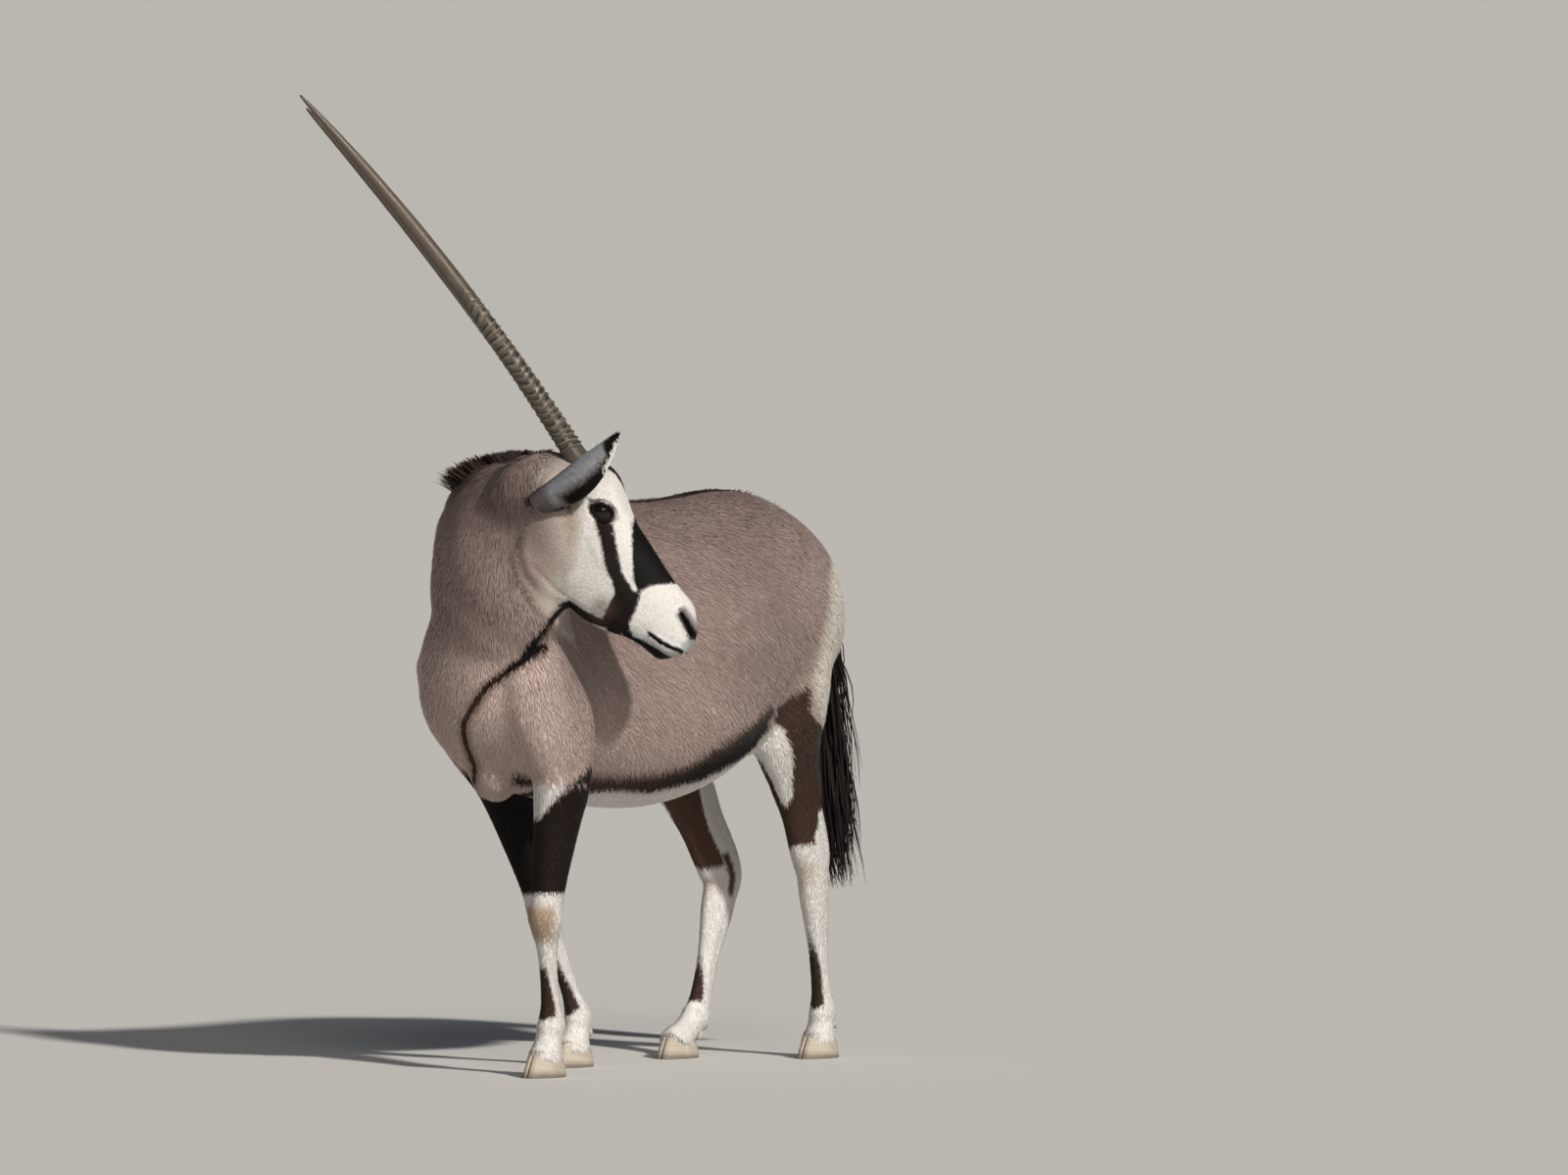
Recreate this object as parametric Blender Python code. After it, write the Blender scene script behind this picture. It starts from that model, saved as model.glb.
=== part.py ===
"""A life-size gemsbok, Oryx gazella, that stands still and looks back over its left side.

Metres, +Z up. The trunk faces +X and the animal's left is +Y. Trunk, neck and legs are lofted from a
few sections, fused and smoothed as one body, and then parted into nodes by thin cuts. The head is a
finer loft in a frame of its own, which carries the eyes, ears and horns.
"""

import math
import random

import bmesh
import bpy
import numpy as np
from mathutils import Matrix, Vector

GAP = 0.0003
VOXEL = 0.006
CREASE_ROUNDS = 60
FLESH_TRIANGLES = 4600

# The head's frame: x runs down the face to the nose, y to the head's left and z up from the brow.
HEAD_AT = Vector((0.444, 0.246, 1.217))
HEAD_YAW, HEAD_PITCH, HEAD_ROLL = 119.0, 64.0, 4.0
HEAD_RINGS, HEAD_SIDES = 38, 28
EYE_AT, EYE_RADIUS = Vector((0.107, 0.053, -0.014)), 0.023
LID_TUBE, LID_REACH, LID_HEIGHT, LID_OUT = 0.0045, 0.0250, 0.0190, 0.0115
NOSTRIL_AT, NOSTRIL_SIZE = Vector((0.374, 0.032, 0.040)), Vector((0.020, 0.010, 0.0052))
NOSTRIL_TILT = 4
MOUTH_CORNER, MOUTH_FRONT, MOUTH_OUTSIDE, MOUTH_DEPTH, MOUTH_GAPE = 0.354, 0.424, 0.06, 0.006, 0.0028
MOUTH_LOW, MOUTH_RISE, MOUTH_LIP = -0.042, 0.046, 0.415
CHIN_BACK = 0.007

HORN_ROOT = Vector((-0.024, 0.036, -0.018))
HORN_TIPS = {"left": Vector((-0.884, 0.160, -0.217)), "right": Vector((-0.880, -0.160, -0.184))}
HORN_BOWS = {"left": 0.018, "right": 0.022}
HORN_RADIUS, HORN_TIP_RADIUS, HORN_DEPTH = 0.0195, 0.0020, 0.020
HORN_RINGS, HORN_SIDES, RING_RISE, RINGED_PART = 22, 9, 0.0013, 0.46
EAR_ROOT = Vector((0.020, 0.072, -0.129))
EAR_TIPS = {"left": Vector((-0.030, 0.172, 0.018)), "right": Vector((-0.013, -0.136, 0.092))}
EAR_OPENS = Vector((0.75, -0.65, 0.0))
EAR_THICKNESS, EAR_ARC_POINTS = 0.004, 9
# How far the ear's middle stands off a straight line from root to tip: to its back, and down the face.
EAR_BACK, EAR_BOW, EAR_BOW_WAY = 0.016, 0.016, Vector((0.94, 0.0, 0.33))
# place along the ear, half width, half angle of its curl
EAR_SHAPE = (
    (0.00, 0.023, 150),
    (0.12, 0.029, 140),
    (0.25, 0.033, 118),
    (0.40, 0.040, 98),
    (0.55, 0.044, 84),
    (0.70, 0.041, 72),
    (0.84, 0.029, 62),
    (0.94, 0.013, 55),
    (1.00, 0.004, 50),
)

# The plane that parts head from neck, in the head's frame, and the reach of the cut to each side.
NAPE_AT, NAPE_NORMAL = Vector((0.0225, 0.0, -0.1275)), Vector((0.749, 0.0, 0.663))
NAPE_REACH, NAPE_RISE, NAPE_DEPTH = 0.100, 0.170, 0.108
# How many of the head's rows the neck is blended into.
SKULL_ROWS = 6
# The plane that parts neck from torso, and the reach of that cut.
NECK_CUT_AT, NECK_CUT_NORMAL, NECK_CUT_REACH = (0.40, 0.0, 0.97), (0.80, 0.05, 0.62), (0.24, 0.33)
# The heights between which the flesh turns from the legs' own shape to the smoothed trunk.
SMOOTH_FROM, SMOOTH_ALL = 0.42, 0.54

TAIL_PATH = (
    (-0.490, 0.000, 1.030),
    (-0.545, 0.000, 1.022),
    (-0.588, 0.000, 0.985),
    (-0.604, 0.000, 0.910),
    (-0.608, 0.000, 0.820),
    (-0.610, 0.000, 0.730),
    (-0.614, 0.000, 0.660),
)
TAIL_RADII = (0.026, 0.024, 0.021, 0.017, 0.014, 0.012, 0.009)
TUFT_LOCKS, TUFT_END, TUFT_SPREAD, TUFT_DRIFT = 14, 0.33, 0.052, np.array((-0.016, 0.018))
# The rows of the tail's path between which locks start, and the turn from each lock to the next.
TUFT_FROM, TUFT_TO, TUFT_TURN = 3.6, 5.8, 2.4
TUFT_WIDTHS = (0.012, 0.022, 0.028, 0.026, 0.014, 0.002)
TUFT_THICKNESSES = (0.008, 0.010, 0.010, 0.009, 0.006, 0.0015)
MANE_LOCKS, MANE_SUNK = 36, 0.014
MANE_WIDTHS, MANE_THICKNESSES = (0.035, 0.032, 0.026, 0.008), (0.010, 0.008, 0.005, 0.0015)
# place along the neck's rows, length of the locks there, how far they fall to the bend's outer side
MANE = (
    (1.5, 0.018, 0.0),
    (2.0, 0.046, 0.3),
    (2.6, 0.055, 0.5),
    (3.2, 0.048, 0.4),
    (3.7, 0.030, 0.2),
    (4.1, 0.016, 0.0),
    (5.7, 0.012, 0.0),
)

# x, top z, widest z, bottom z, half width, power of the upper half, power of the lower half
TRUNK = (
    (-0.572, 0.925, 0.900, 0.875, 0.012, 2.0, 2.0),
    (-0.565, 0.965, 0.905, 0.845, 0.052, 2.0, 2.0),
    (-0.548, 1.010, 0.895, 0.800, 0.096, 2.0, 2.0),
    (-0.510, 1.062, 0.885, 0.750, 0.140, 2.1, 2.0),
    (-0.430, 1.112, 0.880, 0.665, 0.175, 2.1, 2.1),
    (-0.330, 1.146, 0.880, 0.635, 0.196, 2.0, 2.2),
    (-0.220, 1.150, 0.820, 0.590, 0.210, 2.0, 2.3),
    (-0.100, 1.136, 0.770, 0.545, 0.230, 2.0, 2.3),
    (0.020, 1.130, 0.750, 0.520, 0.232, 1.9, 2.2),
    (0.140, 1.142, 0.760, 0.524, 0.212, 1.8, 2.1),
    (0.260, 1.172, 0.780, 0.540, 0.182, 1.7, 2.0),
    (0.360, 1.160, 0.790, 0.555, 0.160, 1.8, 2.0),
    (0.440, 1.090, 0.790, 0.580, 0.150, 2.0, 2.0),
    (0.510, 1.000, 0.775, 0.622, 0.126, 2.0, 2.0),
    (0.550, 0.915, 0.765, 0.662, 0.094, 2.0, 2.0),
    (0.568, 0.850, 0.765, 0.700, 0.056, 2.0, 2.0),
    (0.574, 0.780, 0.765, 0.750, 0.016, 2.0, 2.0),
)

# centre x, y, z, up x, y, z, half width, reach up, reach down
NECK = (
    (0.220, 0.000, 0.980, -0.10, 0.00, 1.00, 0.130, 0.180, 0.230),
    (0.330, -0.005, 0.975, -0.15, -0.05, 0.98, 0.128, 0.188, 0.225),
    (0.436, 0.002, 0.945, -0.20, -0.28, 0.93, 0.126, 0.222, 0.190),
    (0.474, 0.050, 0.985, -0.06, -0.44, 0.90, 0.108, 0.210, 0.172),
    (0.478, 0.102, 1.030, -0.03, -0.36, 0.93, 0.086, 0.206, 0.150),
    (0.464, 0.160, 1.065, 0.04, -0.16, 0.98, 0.078, 0.168, 0.135),
    (0.440, 0.205, 1.080, 0.12, -0.06, 0.98, 0.068, 0.130, 0.112),
)

# The same columns as the trunk, in the head's frame.
HEAD = (
    (-0.062, -0.080, -0.120, -0.160, 0.030, 2.0, 2.0),
    (-0.045, -0.052, -0.115, -0.185, 0.052, 2.1, 2.0),
    (-0.015, -0.015, -0.095, -0.200, 0.063, 2.2, 2.0),
    (0.020, 0.028, -0.070, -0.200, 0.068, 2.4, 2.0),
    (0.050, 0.041, -0.045, -0.196, 0.071, 2.6, 1.9),
    (0.085, 0.040, -0.032, -0.197, 0.074, 2.5, 1.8),
    (0.120, 0.035, -0.036, -0.203, 0.073, 2.3, 1.8),
    (0.155, 0.034, -0.046, -0.201, 0.067, 2.1, 1.8),
    (0.195, 0.039, -0.052, -0.185, 0.059, 2.0, 1.8),
    (0.235, 0.044, -0.050, -0.163, 0.050, 2.0, 1.7),
    (0.275, 0.049, -0.042, -0.144, 0.043, 2.0, 1.8),
    (0.312, 0.057, -0.028, -0.118, 0.039, 2.1, 1.9),
    (0.345, 0.064, -0.010, -0.083, 0.041, 2.3, 2.0),
    (0.375, 0.057, 0.000, -0.064, 0.043, 2.4, 2.1),
    (0.400, 0.046, 0.002, -0.054, 0.041, 2.4, 2.2),
    (0.418, 0.028, 0.000, -0.044, 0.034, 2.3, 2.2),
    (0.427, 0.008, -0.008, -0.024, 0.018, 2.0, 2.0),
)

# A leg's joints from the top down. Flesh rows: place among the joints, half depth, half width.
FRONT_JOINTS = ("withers", "shoulder", "elbow", "knee", "fetlock", "coronet")
FRONT_FLESH = (
    (0.00, 0.060, 0.040),
    (0.50, 0.095, 0.052),
    (1.00, 0.105, 0.060),
    (1.50, 0.100, 0.060),
    (2.00, 0.074, 0.050),
    (2.25, 0.057, 0.044),
    (2.50, 0.047, 0.038),
    (2.75, 0.038, 0.033),
    (2.92, 0.035, 0.031),
    (3.05, 0.036, 0.032),
    (3.18, 0.030, 0.027),
    (3.30, 0.023, 0.020),
    (3.50, 0.0195, 0.0170),
    (3.80, 0.0200, 0.0175),
    (3.93, 0.027, 0.022),
    (4.05, 0.032, 0.026),
    (4.40, 0.029, 0.025),
    (4.70, 0.031, 0.028),
    (5.00, 0.038, 0.031),
    (5.50, 0.041, 0.033),
)
HIND_FLESH = (
    (0.00, 0.120, 0.075),
    (0.50, 0.125, 0.078),
    (0.80, 0.110, 0.066),
    (1.00, 0.097, 0.055),
    (1.30, 0.073, 0.040),
    (1.50, 0.060, 0.034),
    (1.66, 0.053, 0.031),
    (1.82, 0.053, 0.030),
    (2.00, 0.050, 0.029),
    (2.12, 0.039, 0.0275),
    (2.25, 0.036, 0.0265),
    (2.36, 0.032, 0.0235),
    (2.50, 0.026, 0.0200),
    (2.65, 0.0225, 0.0175),
    (2.85, 0.0225, 0.0175),
    (2.95, 0.027, 0.022),
    (3.05, 0.032, 0.025),
    (3.40, 0.029, 0.025),
    (3.70, 0.031, 0.028),
    (4.00, 0.038, 0.031),
    (4.50, 0.041, 0.033),
)
# The right hind leg is a little deeper down to the fetlock, and its low pastern is thinner.
HIND_RIGHT_FLESH = tuple(
    (place, deep * float(np.interp(place, (2.9, 3.7), (1.14, 0.84))), wide)
    for place, deep, wide in HIND_FLESH
)
LEGS = {
    "front_left": (
        FRONT_FLESH,
        ((0.33, 0.060, 1.06), (0.445, 0.118, 0.80), (0.385, 0.135, 0.600), (0.430, 0.125, 0.325),
         (0.398, 0.115, 0.105), (0.414, 0.113, 0.040)),
    ),
    "front_right": (
        FRONT_FLESH,
        ((0.33, -0.060, 1.06), (0.420, -0.118, 0.80), (0.255, -0.135, 0.600), (0.163, -0.100, 0.325),
         (0.088, -0.070, 0.100), (0.106, -0.068, 0.040)),
    ),
    "hind_left": (
        HIND_FLESH,
        ((-0.360, 0.085, 0.93), (-0.315, 0.140, 0.660), (-0.402, 0.137, 0.410), (-0.459, 0.122, 0.096),
         (-0.452, 0.118, 0.040)),
    ),
    "hind_right": (
        HIND_RIGHT_FLESH,
        ((-0.360, -0.085, 0.93), (-0.270, -0.140, 0.660), (-0.439, -0.120, 0.365), (-0.337, -0.105, 0.085),
         (-0.270, -0.100, 0.040)),
    ),
}
# Where each leg leaves the trunk: place among its joints, and the half size of the cut.
LEG_CUTS = {"front_left": 2.20, "front_right": 2.30, "hind_left": 1.24, "hind_right": 1.30}
LEG_CUT_REACH = (0.085, 0.100)

HOOF_TOP_LENGTH, HOOF_TOP_WIDTH = 0.082, 0.061
HOOF_SOLE_LENGTH, HOOF_SOLE_WIDTH, HOOF_SOLE_AHEAD = 0.108, 0.066, 0.007
CORONET_HEIGHT, CORONET_SLOPE, CLEFT = 0.035, 0.22, 0.004
HOOF_POINT = 0.25
DEWCLAW_SIZE, DEWCLAW_DROP = Vector((0.0085, 0.0080, 0.0130)), 0.40
DEWCLAW_BACK, DEWCLAW_ASIDE = 0.027, 0.013
BRISKET_AT, BRISKET_SIZE = Vector((0.430, 0.000, 0.622)), Vector((0.062, 0.054, 0.078))


def catmull(rows, places):
    """Rows of numbers read from a smooth curve through them, at places counted in rows."""
    rows = np.array(rows, float)
    places = np.asarray(places, float)
    i = np.clip(places.astype(int), 0, len(rows) - 2)
    f = (places - i)[:, None]
    padded = np.vstack([2 * rows[0] - rows[1], rows, 2 * rows[-1] - rows[-2]])
    a, b, c, d = padded[i], padded[i + 1], padded[i + 2], padded[i + 3]
    return b + 0.5 * f * (c - a + f * (2 * a - 5 * b + 4 * c - d + f * (3 * b - a - 3 * c + d)))


def smooth_rows(rows, count):
    return catmull(rows, np.linspace(0, len(rows) - 1, count))


def unit(v):
    v = np.asarray(v, float)
    return v / np.linalg.norm(v)


def smoothstep(low, high, value):
    t = np.clip((value - low) / (high - low), 0, 1)
    return t * t * (3 - 2 * t)


def section(centre, side, up, width, top, bottom, upper=2.0, lower=2.0, count=48):
    """Points of a rounded section that reaches width to each side, top upwards and bottom downwards."""
    angle = np.arange(count) * 2 * math.pi / count
    c, s = np.cos(angle), np.sin(angle)
    power = 2 / np.where(s > 0, upper, lower)
    across = width * np.sign(c) * np.abs(c) ** power
    along = np.where(s > 0, top, bottom) * np.sign(s) * np.abs(s) ** power
    return np.array(centre) + across[:, None] * np.array(side) + along[:, None] * np.array(up)


def mesh_object(name, points, faces):
    mesh = bpy.data.meshes.new(name)
    mesh.from_pydata([tuple(p) for p in points], [], faces)
    work = bmesh.new()
    work.from_mesh(mesh)
    bmesh.ops.recalc_face_normals(work, faces=work.faces)
    work.to_mesh(mesh)
    work.free()
    obj = bpy.data.objects.new(name, mesh)
    bpy.context.scene.collection.objects.link(obj)
    return obj


def loft(name, rings):
    """A closed solid through rings of equal length."""
    count = len(rings[0])
    faces = [tuple(range(count))[::-1], tuple(range((len(rings) - 1) * count, len(rings) * count))]
    for j in range(len(rings) - 1):
        for i in range(count):
            k = (i + 1) % count
            faces.append((j * count + i, j * count + k, (j + 1) * count + k, (j + 1) * count + i))
    return mesh_object(name, np.concatenate(rings), faces)


def tube(name, centres, radii, side, count=10, flat=1.0):
    """A tube round a path, flattened across side by flat."""
    centres = np.array(centres, float)
    rings = []
    for i, centre in enumerate(centres):
        along = unit(centres[min(i + 1, len(centres) - 1)] - centres[max(i - 1, 0)])
        across = unit(np.cross(np.cross(along, side), along))
        thin = radii[i] * flat
        rings.append(section(centre, across, np.cross(along, across), radii[i], thin, thin, count=count))
    return loft(name, rings)


def head_matrix():
    yaw, pitch, roll = (math.radians(a) for a in (HEAD_YAW, HEAD_PITCH, HEAD_ROLL))
    forward = Vector((math.cos(pitch) * math.cos(yaw), math.cos(pitch) * math.sin(yaw), -math.sin(pitch)))
    left = Vector((-math.sin(yaw), math.cos(yaw), 0))
    up = forward.cross(left)
    left, up = math.cos(roll) * left - math.sin(roll) * up, math.sin(roll) * left + math.cos(roll) * up
    return Matrix.Translation(HEAD_AT) @ Matrix((forward, left, up)).transposed().to_4x4()


def lengthwise(name, table, count, around):
    """A loft along x from rows of x, top, widest, bottom, half width and the two powers."""
    rings = []
    for x, top, wide, bottom, width, upper, lower in smooth_rows(table, count):
        centre, side, up = (x, 0, wide), (0, 1, 0), (0, 0, 1)
        rings.append(section(centre, side, up, width, top - wide, wide - bottom, upper, lower, around))
    return loft(name, rings)


def neck_form():
    rows = smooth_rows(NECK, 40)
    rings = []
    for i, row in enumerate(rows):
        along = unit(rows[min(i + 1, len(rows) - 1)][:3] - rows[max(i - 1, 0)][:3])
        up = unit(row[3:6] - along * (row[3:6] @ along))
        rings.append(section(row[:3], np.cross(up, along), up, row[6], row[7], row[8], 1.8, 2.2))
    return loft("neck_form", rings)


def leg_form(name):
    """A leg's loft, which runs on past the coronet so that the cut there meets flesh all over."""
    flesh, joints = LEGS[name]
    joints = np.array(joints)
    joints = np.vstack((joints, 1.6 * joints[-1] - 0.6 * joints[-2]))
    rows = smooth_rows(flesh, 70)
    whole = np.clip(rows[:, 0].astype(int), 0, len(joints) - 2)
    part = (rows[:, 0] - whole)[:, None]
    centres = joints[whole] * (1 - part) + joints[whole + 1] * part
    for _ in range(3):
        centres[1:-1] = (centres[:-2] + 2 * centres[1:-1] + centres[2:]) / 4
    rings = []
    for i, (centre, row) in enumerate(zip(centres, rows)):
        along = unit(centres[min(i + 1, len(rows) - 1)] - centres[max(i - 1, 0)])
        fore = unit(np.array((1.0, 0, 0)) - along * along[0])
        rings.append(section(centre, np.cross(along, fore), fore, row[2], row[1], row[1], count=32))
    return loft(f"{name}_form", rings)


def fused(pieces):
    """One mesh from overlapping solids, evened by a voxel remesh."""
    joined = bmesh.new()
    for piece in pieces:
        joined.from_mesh(piece.data)
        bpy.data.objects.remove(piece)
    mesh = bpy.data.meshes.new("flesh")
    joined.to_mesh(mesh)
    joined.free()
    flesh = bpy.data.objects.new("flesh", mesh)
    bpy.context.scene.collection.objects.link(flesh)
    remesh = flesh.modifiers.new("Remesh", "REMESH")
    remesh.mode = "VOXEL"
    remesh.voxel_size = VOXEL
    applied(flesh)
    return flesh


def applied(obj):
    """Replaces an object's mesh by what its modifiers make of it."""
    bpy.context.view_layer.update()
    mesh = bpy.data.meshes.new_from_object(obj.evaluated_get(bpy.context.evaluated_depsgraph_get()))
    obj.modifiers.clear()
    obj.data = mesh
    return obj


def points_of(mesh):
    points = np.empty(len(mesh.vertices) * 3, np.float32)
    mesh.vertices.foreach_get("co", points)
    return points.reshape(-1, 3).astype(float)


def set_points(mesh, points):
    mesh.vertices.foreach_set("co", points.astype(np.float32).ravel())
    mesh.update()


def neighbours_mean(points, edges):
    """The mean of each point's neighbours along the edges."""
    a, b = edges
    count = np.bincount(np.concatenate((a, b)), minlength=len(points))
    mean = np.empty_like(points)
    for axis in range(3):
        there = points[:, axis]
        total = np.bincount(a, there[b], len(points)) + np.bincount(b, there[a], len(points))
        mean[:, axis] = total / count
    return mean


def edges_of(mesh):
    edges = np.empty(len(mesh.edges) * 2, np.int32)
    mesh.edges.foreach_get("vertices", edges)
    return edges.reshape(-1, 2).T


def relaxed(mesh, weight, rounds):
    """Moves each point towards its neighbours' mean and a little back, so that the volume stays."""
    points = points_of(mesh)
    edges = edges_of(mesh)
    for _ in range(rounds):
        for step in (0.6, -0.615):
            points += step * weight[:, None] * (neighbours_mean(points, edges) - points)
    set_points(mesh, points)


def filled(mesh, rounds):
    """Eases the creases where limbs meet: each point only moves outwards, towards its neighbours' mean."""
    edges = edges_of(mesh)
    normals = np.empty(len(mesh.vertices) * 3, np.float32)
    for _ in range(rounds):
        points = points_of(mesh)
        mesh.vertices.foreach_get("normal", normals)
        outward = normals.reshape(-1, 3)
        rise = np.maximum(((neighbours_mean(points, edges) - points) * outward).sum(axis=1), 0)
        set_points(mesh, points + 0.7 * rise[:, None] * outward)


def boolean(obj, other, operation, solver="EXACT"):
    """Applies a Boolean with one object or with a collection, and removes what it used."""
    modifier = obj.modifiers.new("Boolean", "BOOLEAN")
    modifier.operation = operation
    modifier.solver = solver
    if isinstance(other, bpy.types.Object):
        modifier.object = other
        used = [other]
    else:
        group = bpy.data.collections.new("group")
        for piece in other:
            group.objects.link(piece)
        modifier.operand_type = "COLLECTION"
        modifier.collection = group
        used = list(other)
    applied(obj)
    for piece in used:
        bpy.data.objects.remove(piece)
    return obj


def islands(obj):
    """The closed surfaces of a mesh, as lists of face indices."""
    work = bmesh.new()
    work.from_mesh(obj.data)
    seen = set()
    found = []
    for face in work.faces:
        if face.index in seen:
            continue
        stack = [face]
        seen.add(face.index)
        part = []
        while stack:
            here = stack.pop()
            part.append(here.index)
            for edge in here.edges:
                for near in edge.link_faces if len(edge.link_faces) == 2 else ():
                    if near.index not in seen:
                        seen.add(near.index)
                        stack.append(near)
        found.append(part)
    work.free()
    return found


def piece_of(obj, faces, name):
    """A new object from some faces of another."""
    work = bmesh.new()
    work.from_mesh(obj.data)
    keep = set(faces)
    bmesh.ops.delete(work, geom=[f for f in work.faces if f.index not in keep], context="FACES")
    mesh = bpy.data.meshes.new(name)
    work.to_mesh(mesh)
    work.free()
    made = bpy.data.objects.new(name, mesh)
    bpy.context.scene.collection.objects.link(made)
    return made


def largest(obj):
    """Keeps an object's largest closed surface."""
    parts = islands(obj)
    if len(parts) > 1:
        work = bmesh.new()
        work.from_mesh(obj.data)
        keep = set(max(parts, key=len))
        bmesh.ops.delete(work, geom=[f for f in work.faces if f.index not in keep], context="FACES")
        work.to_mesh(obj.data)
        work.free()
    return obj


def slab(at, normal, across, half_width, half_height):
    """A thin box across a limb, GAP thick, at a point."""
    normal = Vector(normal).normalized()
    across = (Vector(across) - normal * normal.dot(Vector(across))).normalized()
    turned = Matrix((across, normal.cross(across), normal)).transposed().to_4x4()
    work = bmesh.new()
    bmesh.ops.create_cube(work, size=2)
    bmesh.ops.scale(work, vec=(half_width, half_height, GAP / 2), verts=work.verts)
    bmesh.ops.transform(work, matrix=Matrix.Translation(Vector(at)) @ turned, verts=work.verts)
    mesh = bpy.data.meshes.new("slab")
    work.to_mesh(mesh)
    work.free()
    made = bpy.data.objects.new("slab", mesh)
    bpy.context.scene.collection.objects.link(made)
    return made


def planted(point):
    """The given point of the head's frame, in the world."""
    return head_matrix() @ Vector(point)


def bisected(obj, at, normal):
    """Keeps the side of a plane that its normal points to, and closes the cut."""
    work = bmesh.new()
    work.from_mesh(obj.data)
    geom = work.verts[:] + work.edges[:] + work.faces[:]
    bmesh.ops.bisect_plane(work, geom=geom, plane_co=at, plane_no=normal, clear_inner=True, dist=1e-7)
    bmesh.ops.holes_fill(work, edges=[e for e in work.edges if e.is_boundary], sides=0)
    bmesh.ops.recalc_face_normals(work, faces=work.faces)
    work.to_mesh(obj.data)
    work.free()
    return obj


def box(name, at, axes, low, high):
    """A box with three given axes, from low to high along each of them, measured from a point."""
    across, over, up = (Vector(axis) for axis in axes)
    points = []
    for x in (low[0], high[0]):
        for y in (low[1], high[1]):
            for z in (low[2], high[2]):
                points.append(Vector(at) + across * x + over * y + up * z)
    faces = ((0, 1, 3, 2), (4, 6, 7, 5), (0, 4, 5, 1), (2, 3, 7, 6), (0, 2, 6, 4), (1, 5, 7, 3))
    return mesh_object(name, points, faces)


def grown(obj, by):
    """A copy of an object whose skin stands out by a small distance."""
    mesh = obj.data.copy()
    points = points_of(mesh)
    normals = np.array([tuple(v.normal) for v in mesh.vertices])
    set_points(mesh, points + normals * by)
    made = bpy.data.objects.new("grown", mesh)
    bpy.context.scene.collection.objects.link(made)
    return made


def ball(name, centre, size, turned=None, rings=8, segments=12):
    work = bmesh.new()
    bmesh.ops.create_uvsphere(work, u_segments=segments, v_segments=rings, radius=1)
    bmesh.ops.scale(work, vec=size, verts=work.verts)
    if turned:
        bmesh.ops.transform(work, matrix=turned, verts=work.verts)
    bmesh.ops.translate(work, vec=centre, verts=work.verts)
    mesh = bpy.data.meshes.new(name)
    work.to_mesh(mesh)
    work.free()
    made = bpy.data.objects.new(name, mesh)
    bpy.context.scene.collection.objects.link(made)
    return made


def mirrored(point, side):
    return Vector((point.x, point.y * (1 if side == "left" else -1), point.z))


def lock(name, path, widths, thicknesses, flat):
    """A flat tapered lock along a path: widths lie along flat, and thicknesses across it."""
    path = [np.array(p, float) for p in path]
    rings = []
    for i, centre in enumerate(path):
        along = unit(path[min(i + 1, len(path) - 1)] - path[max(i - 1, 0)])
        wide = unit(np.array(flat, float) - along * (np.array(flat, float) @ along))
        thin = np.cross(along, wide)
        w, t = widths[i] / 2, thicknesses[i] / 2
        rings.append(np.array([centre + wide * w, centre + thin * t, centre - wide * w, centre - thin * t]))
    return loft(name, rings)


def horn(side):
    root, tip = mirrored(HORN_ROOT, side), HORN_TIPS[side]
    places = [-HORN_DEPTH / (tip - root).length]
    rises = [0.0]
    for ring in range(HORN_RINGS):
        # The rings stand wider apart towards the tip.
        start = RINGED_PART * (ring / HORN_RINGS) ** 1.15 + 0.012
        step = RINGED_PART * ((ring + 1) / HORN_RINGS) ** 1.15 + 0.012 - start
        fade = 1 - 0.5 * ring / HORN_RINGS
        places += [start, start + 0.55 * step]
        rises += [0.0, RING_RISE * fade]
    places += list(np.linspace(RINGED_PART + 0.02, 0.94, 9)) + [0.975, 1.0]
    rises += [0.0] * 11
    centres = []
    radii = []
    for s, rise in zip(places, rises):
        bow = Vector((0, 0, HORN_BOWS[side] * 4 * s * (1 - s)))
        centres.append(tuple(planted(root.lerp(tip, s) + bow)))
        radii.append(HORN_TIP_RADIUS + (HORN_RADIUS - HORN_TIP_RADIUS) * (1 - max(s, 0) ** 2) ** 0.8 + rise)
    return tube(f"horn_{side}", centres, radii, (0, 0, 1), HORN_SIDES)


def ear(side):
    """A leaf curled round its length, open towards the front, with its foot sunk in the head."""
    root, opens = mirrored(EAR_ROOT, side), mirrored(EAR_OPENS, side)
    tip = EAR_TIPS[side]
    along = (tip - root).normalized()
    opens = (opens - along * opens.dot(along)).normalized()
    across = along.cross(opens)
    rings = []
    for s, half, angle in EAR_SHAPE:
        reach = math.radians(angle)
        radius = half / math.sin(min(reach, math.pi / 2))
        inner = max(radius - EAR_THICKNESS, radius * 0.35)
        spine = root.lerp(tip, s) + (EAR_BOW_WAY * EAR_BOW - opens * EAR_BACK) * math.sin(math.pi * s)
        middle = spine + opens * radius
        turns = np.linspace(-reach, reach, EAR_ARC_POINTS)
        ring = [middle + radius * (math.sin(a) * across - math.cos(a) * opens) for a in turns]
        ring += [middle + inner * (math.sin(a) * across - math.cos(a) * opens) for a in turns[::-1]]
        rings.append(np.array([tuple(planted(p)) for p in ring]))
    return loft(f"ear_{side}", rings)


def mouth_height(x):
    """The height of the line between the lips at a place down the face."""
    ahead = np.maximum(x - MOUTH_CORNER, 0) / (MOUTH_LIP - MOUTH_CORNER)
    return MOUTH_LOW + MOUTH_RISE * ahead**0.8


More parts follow.
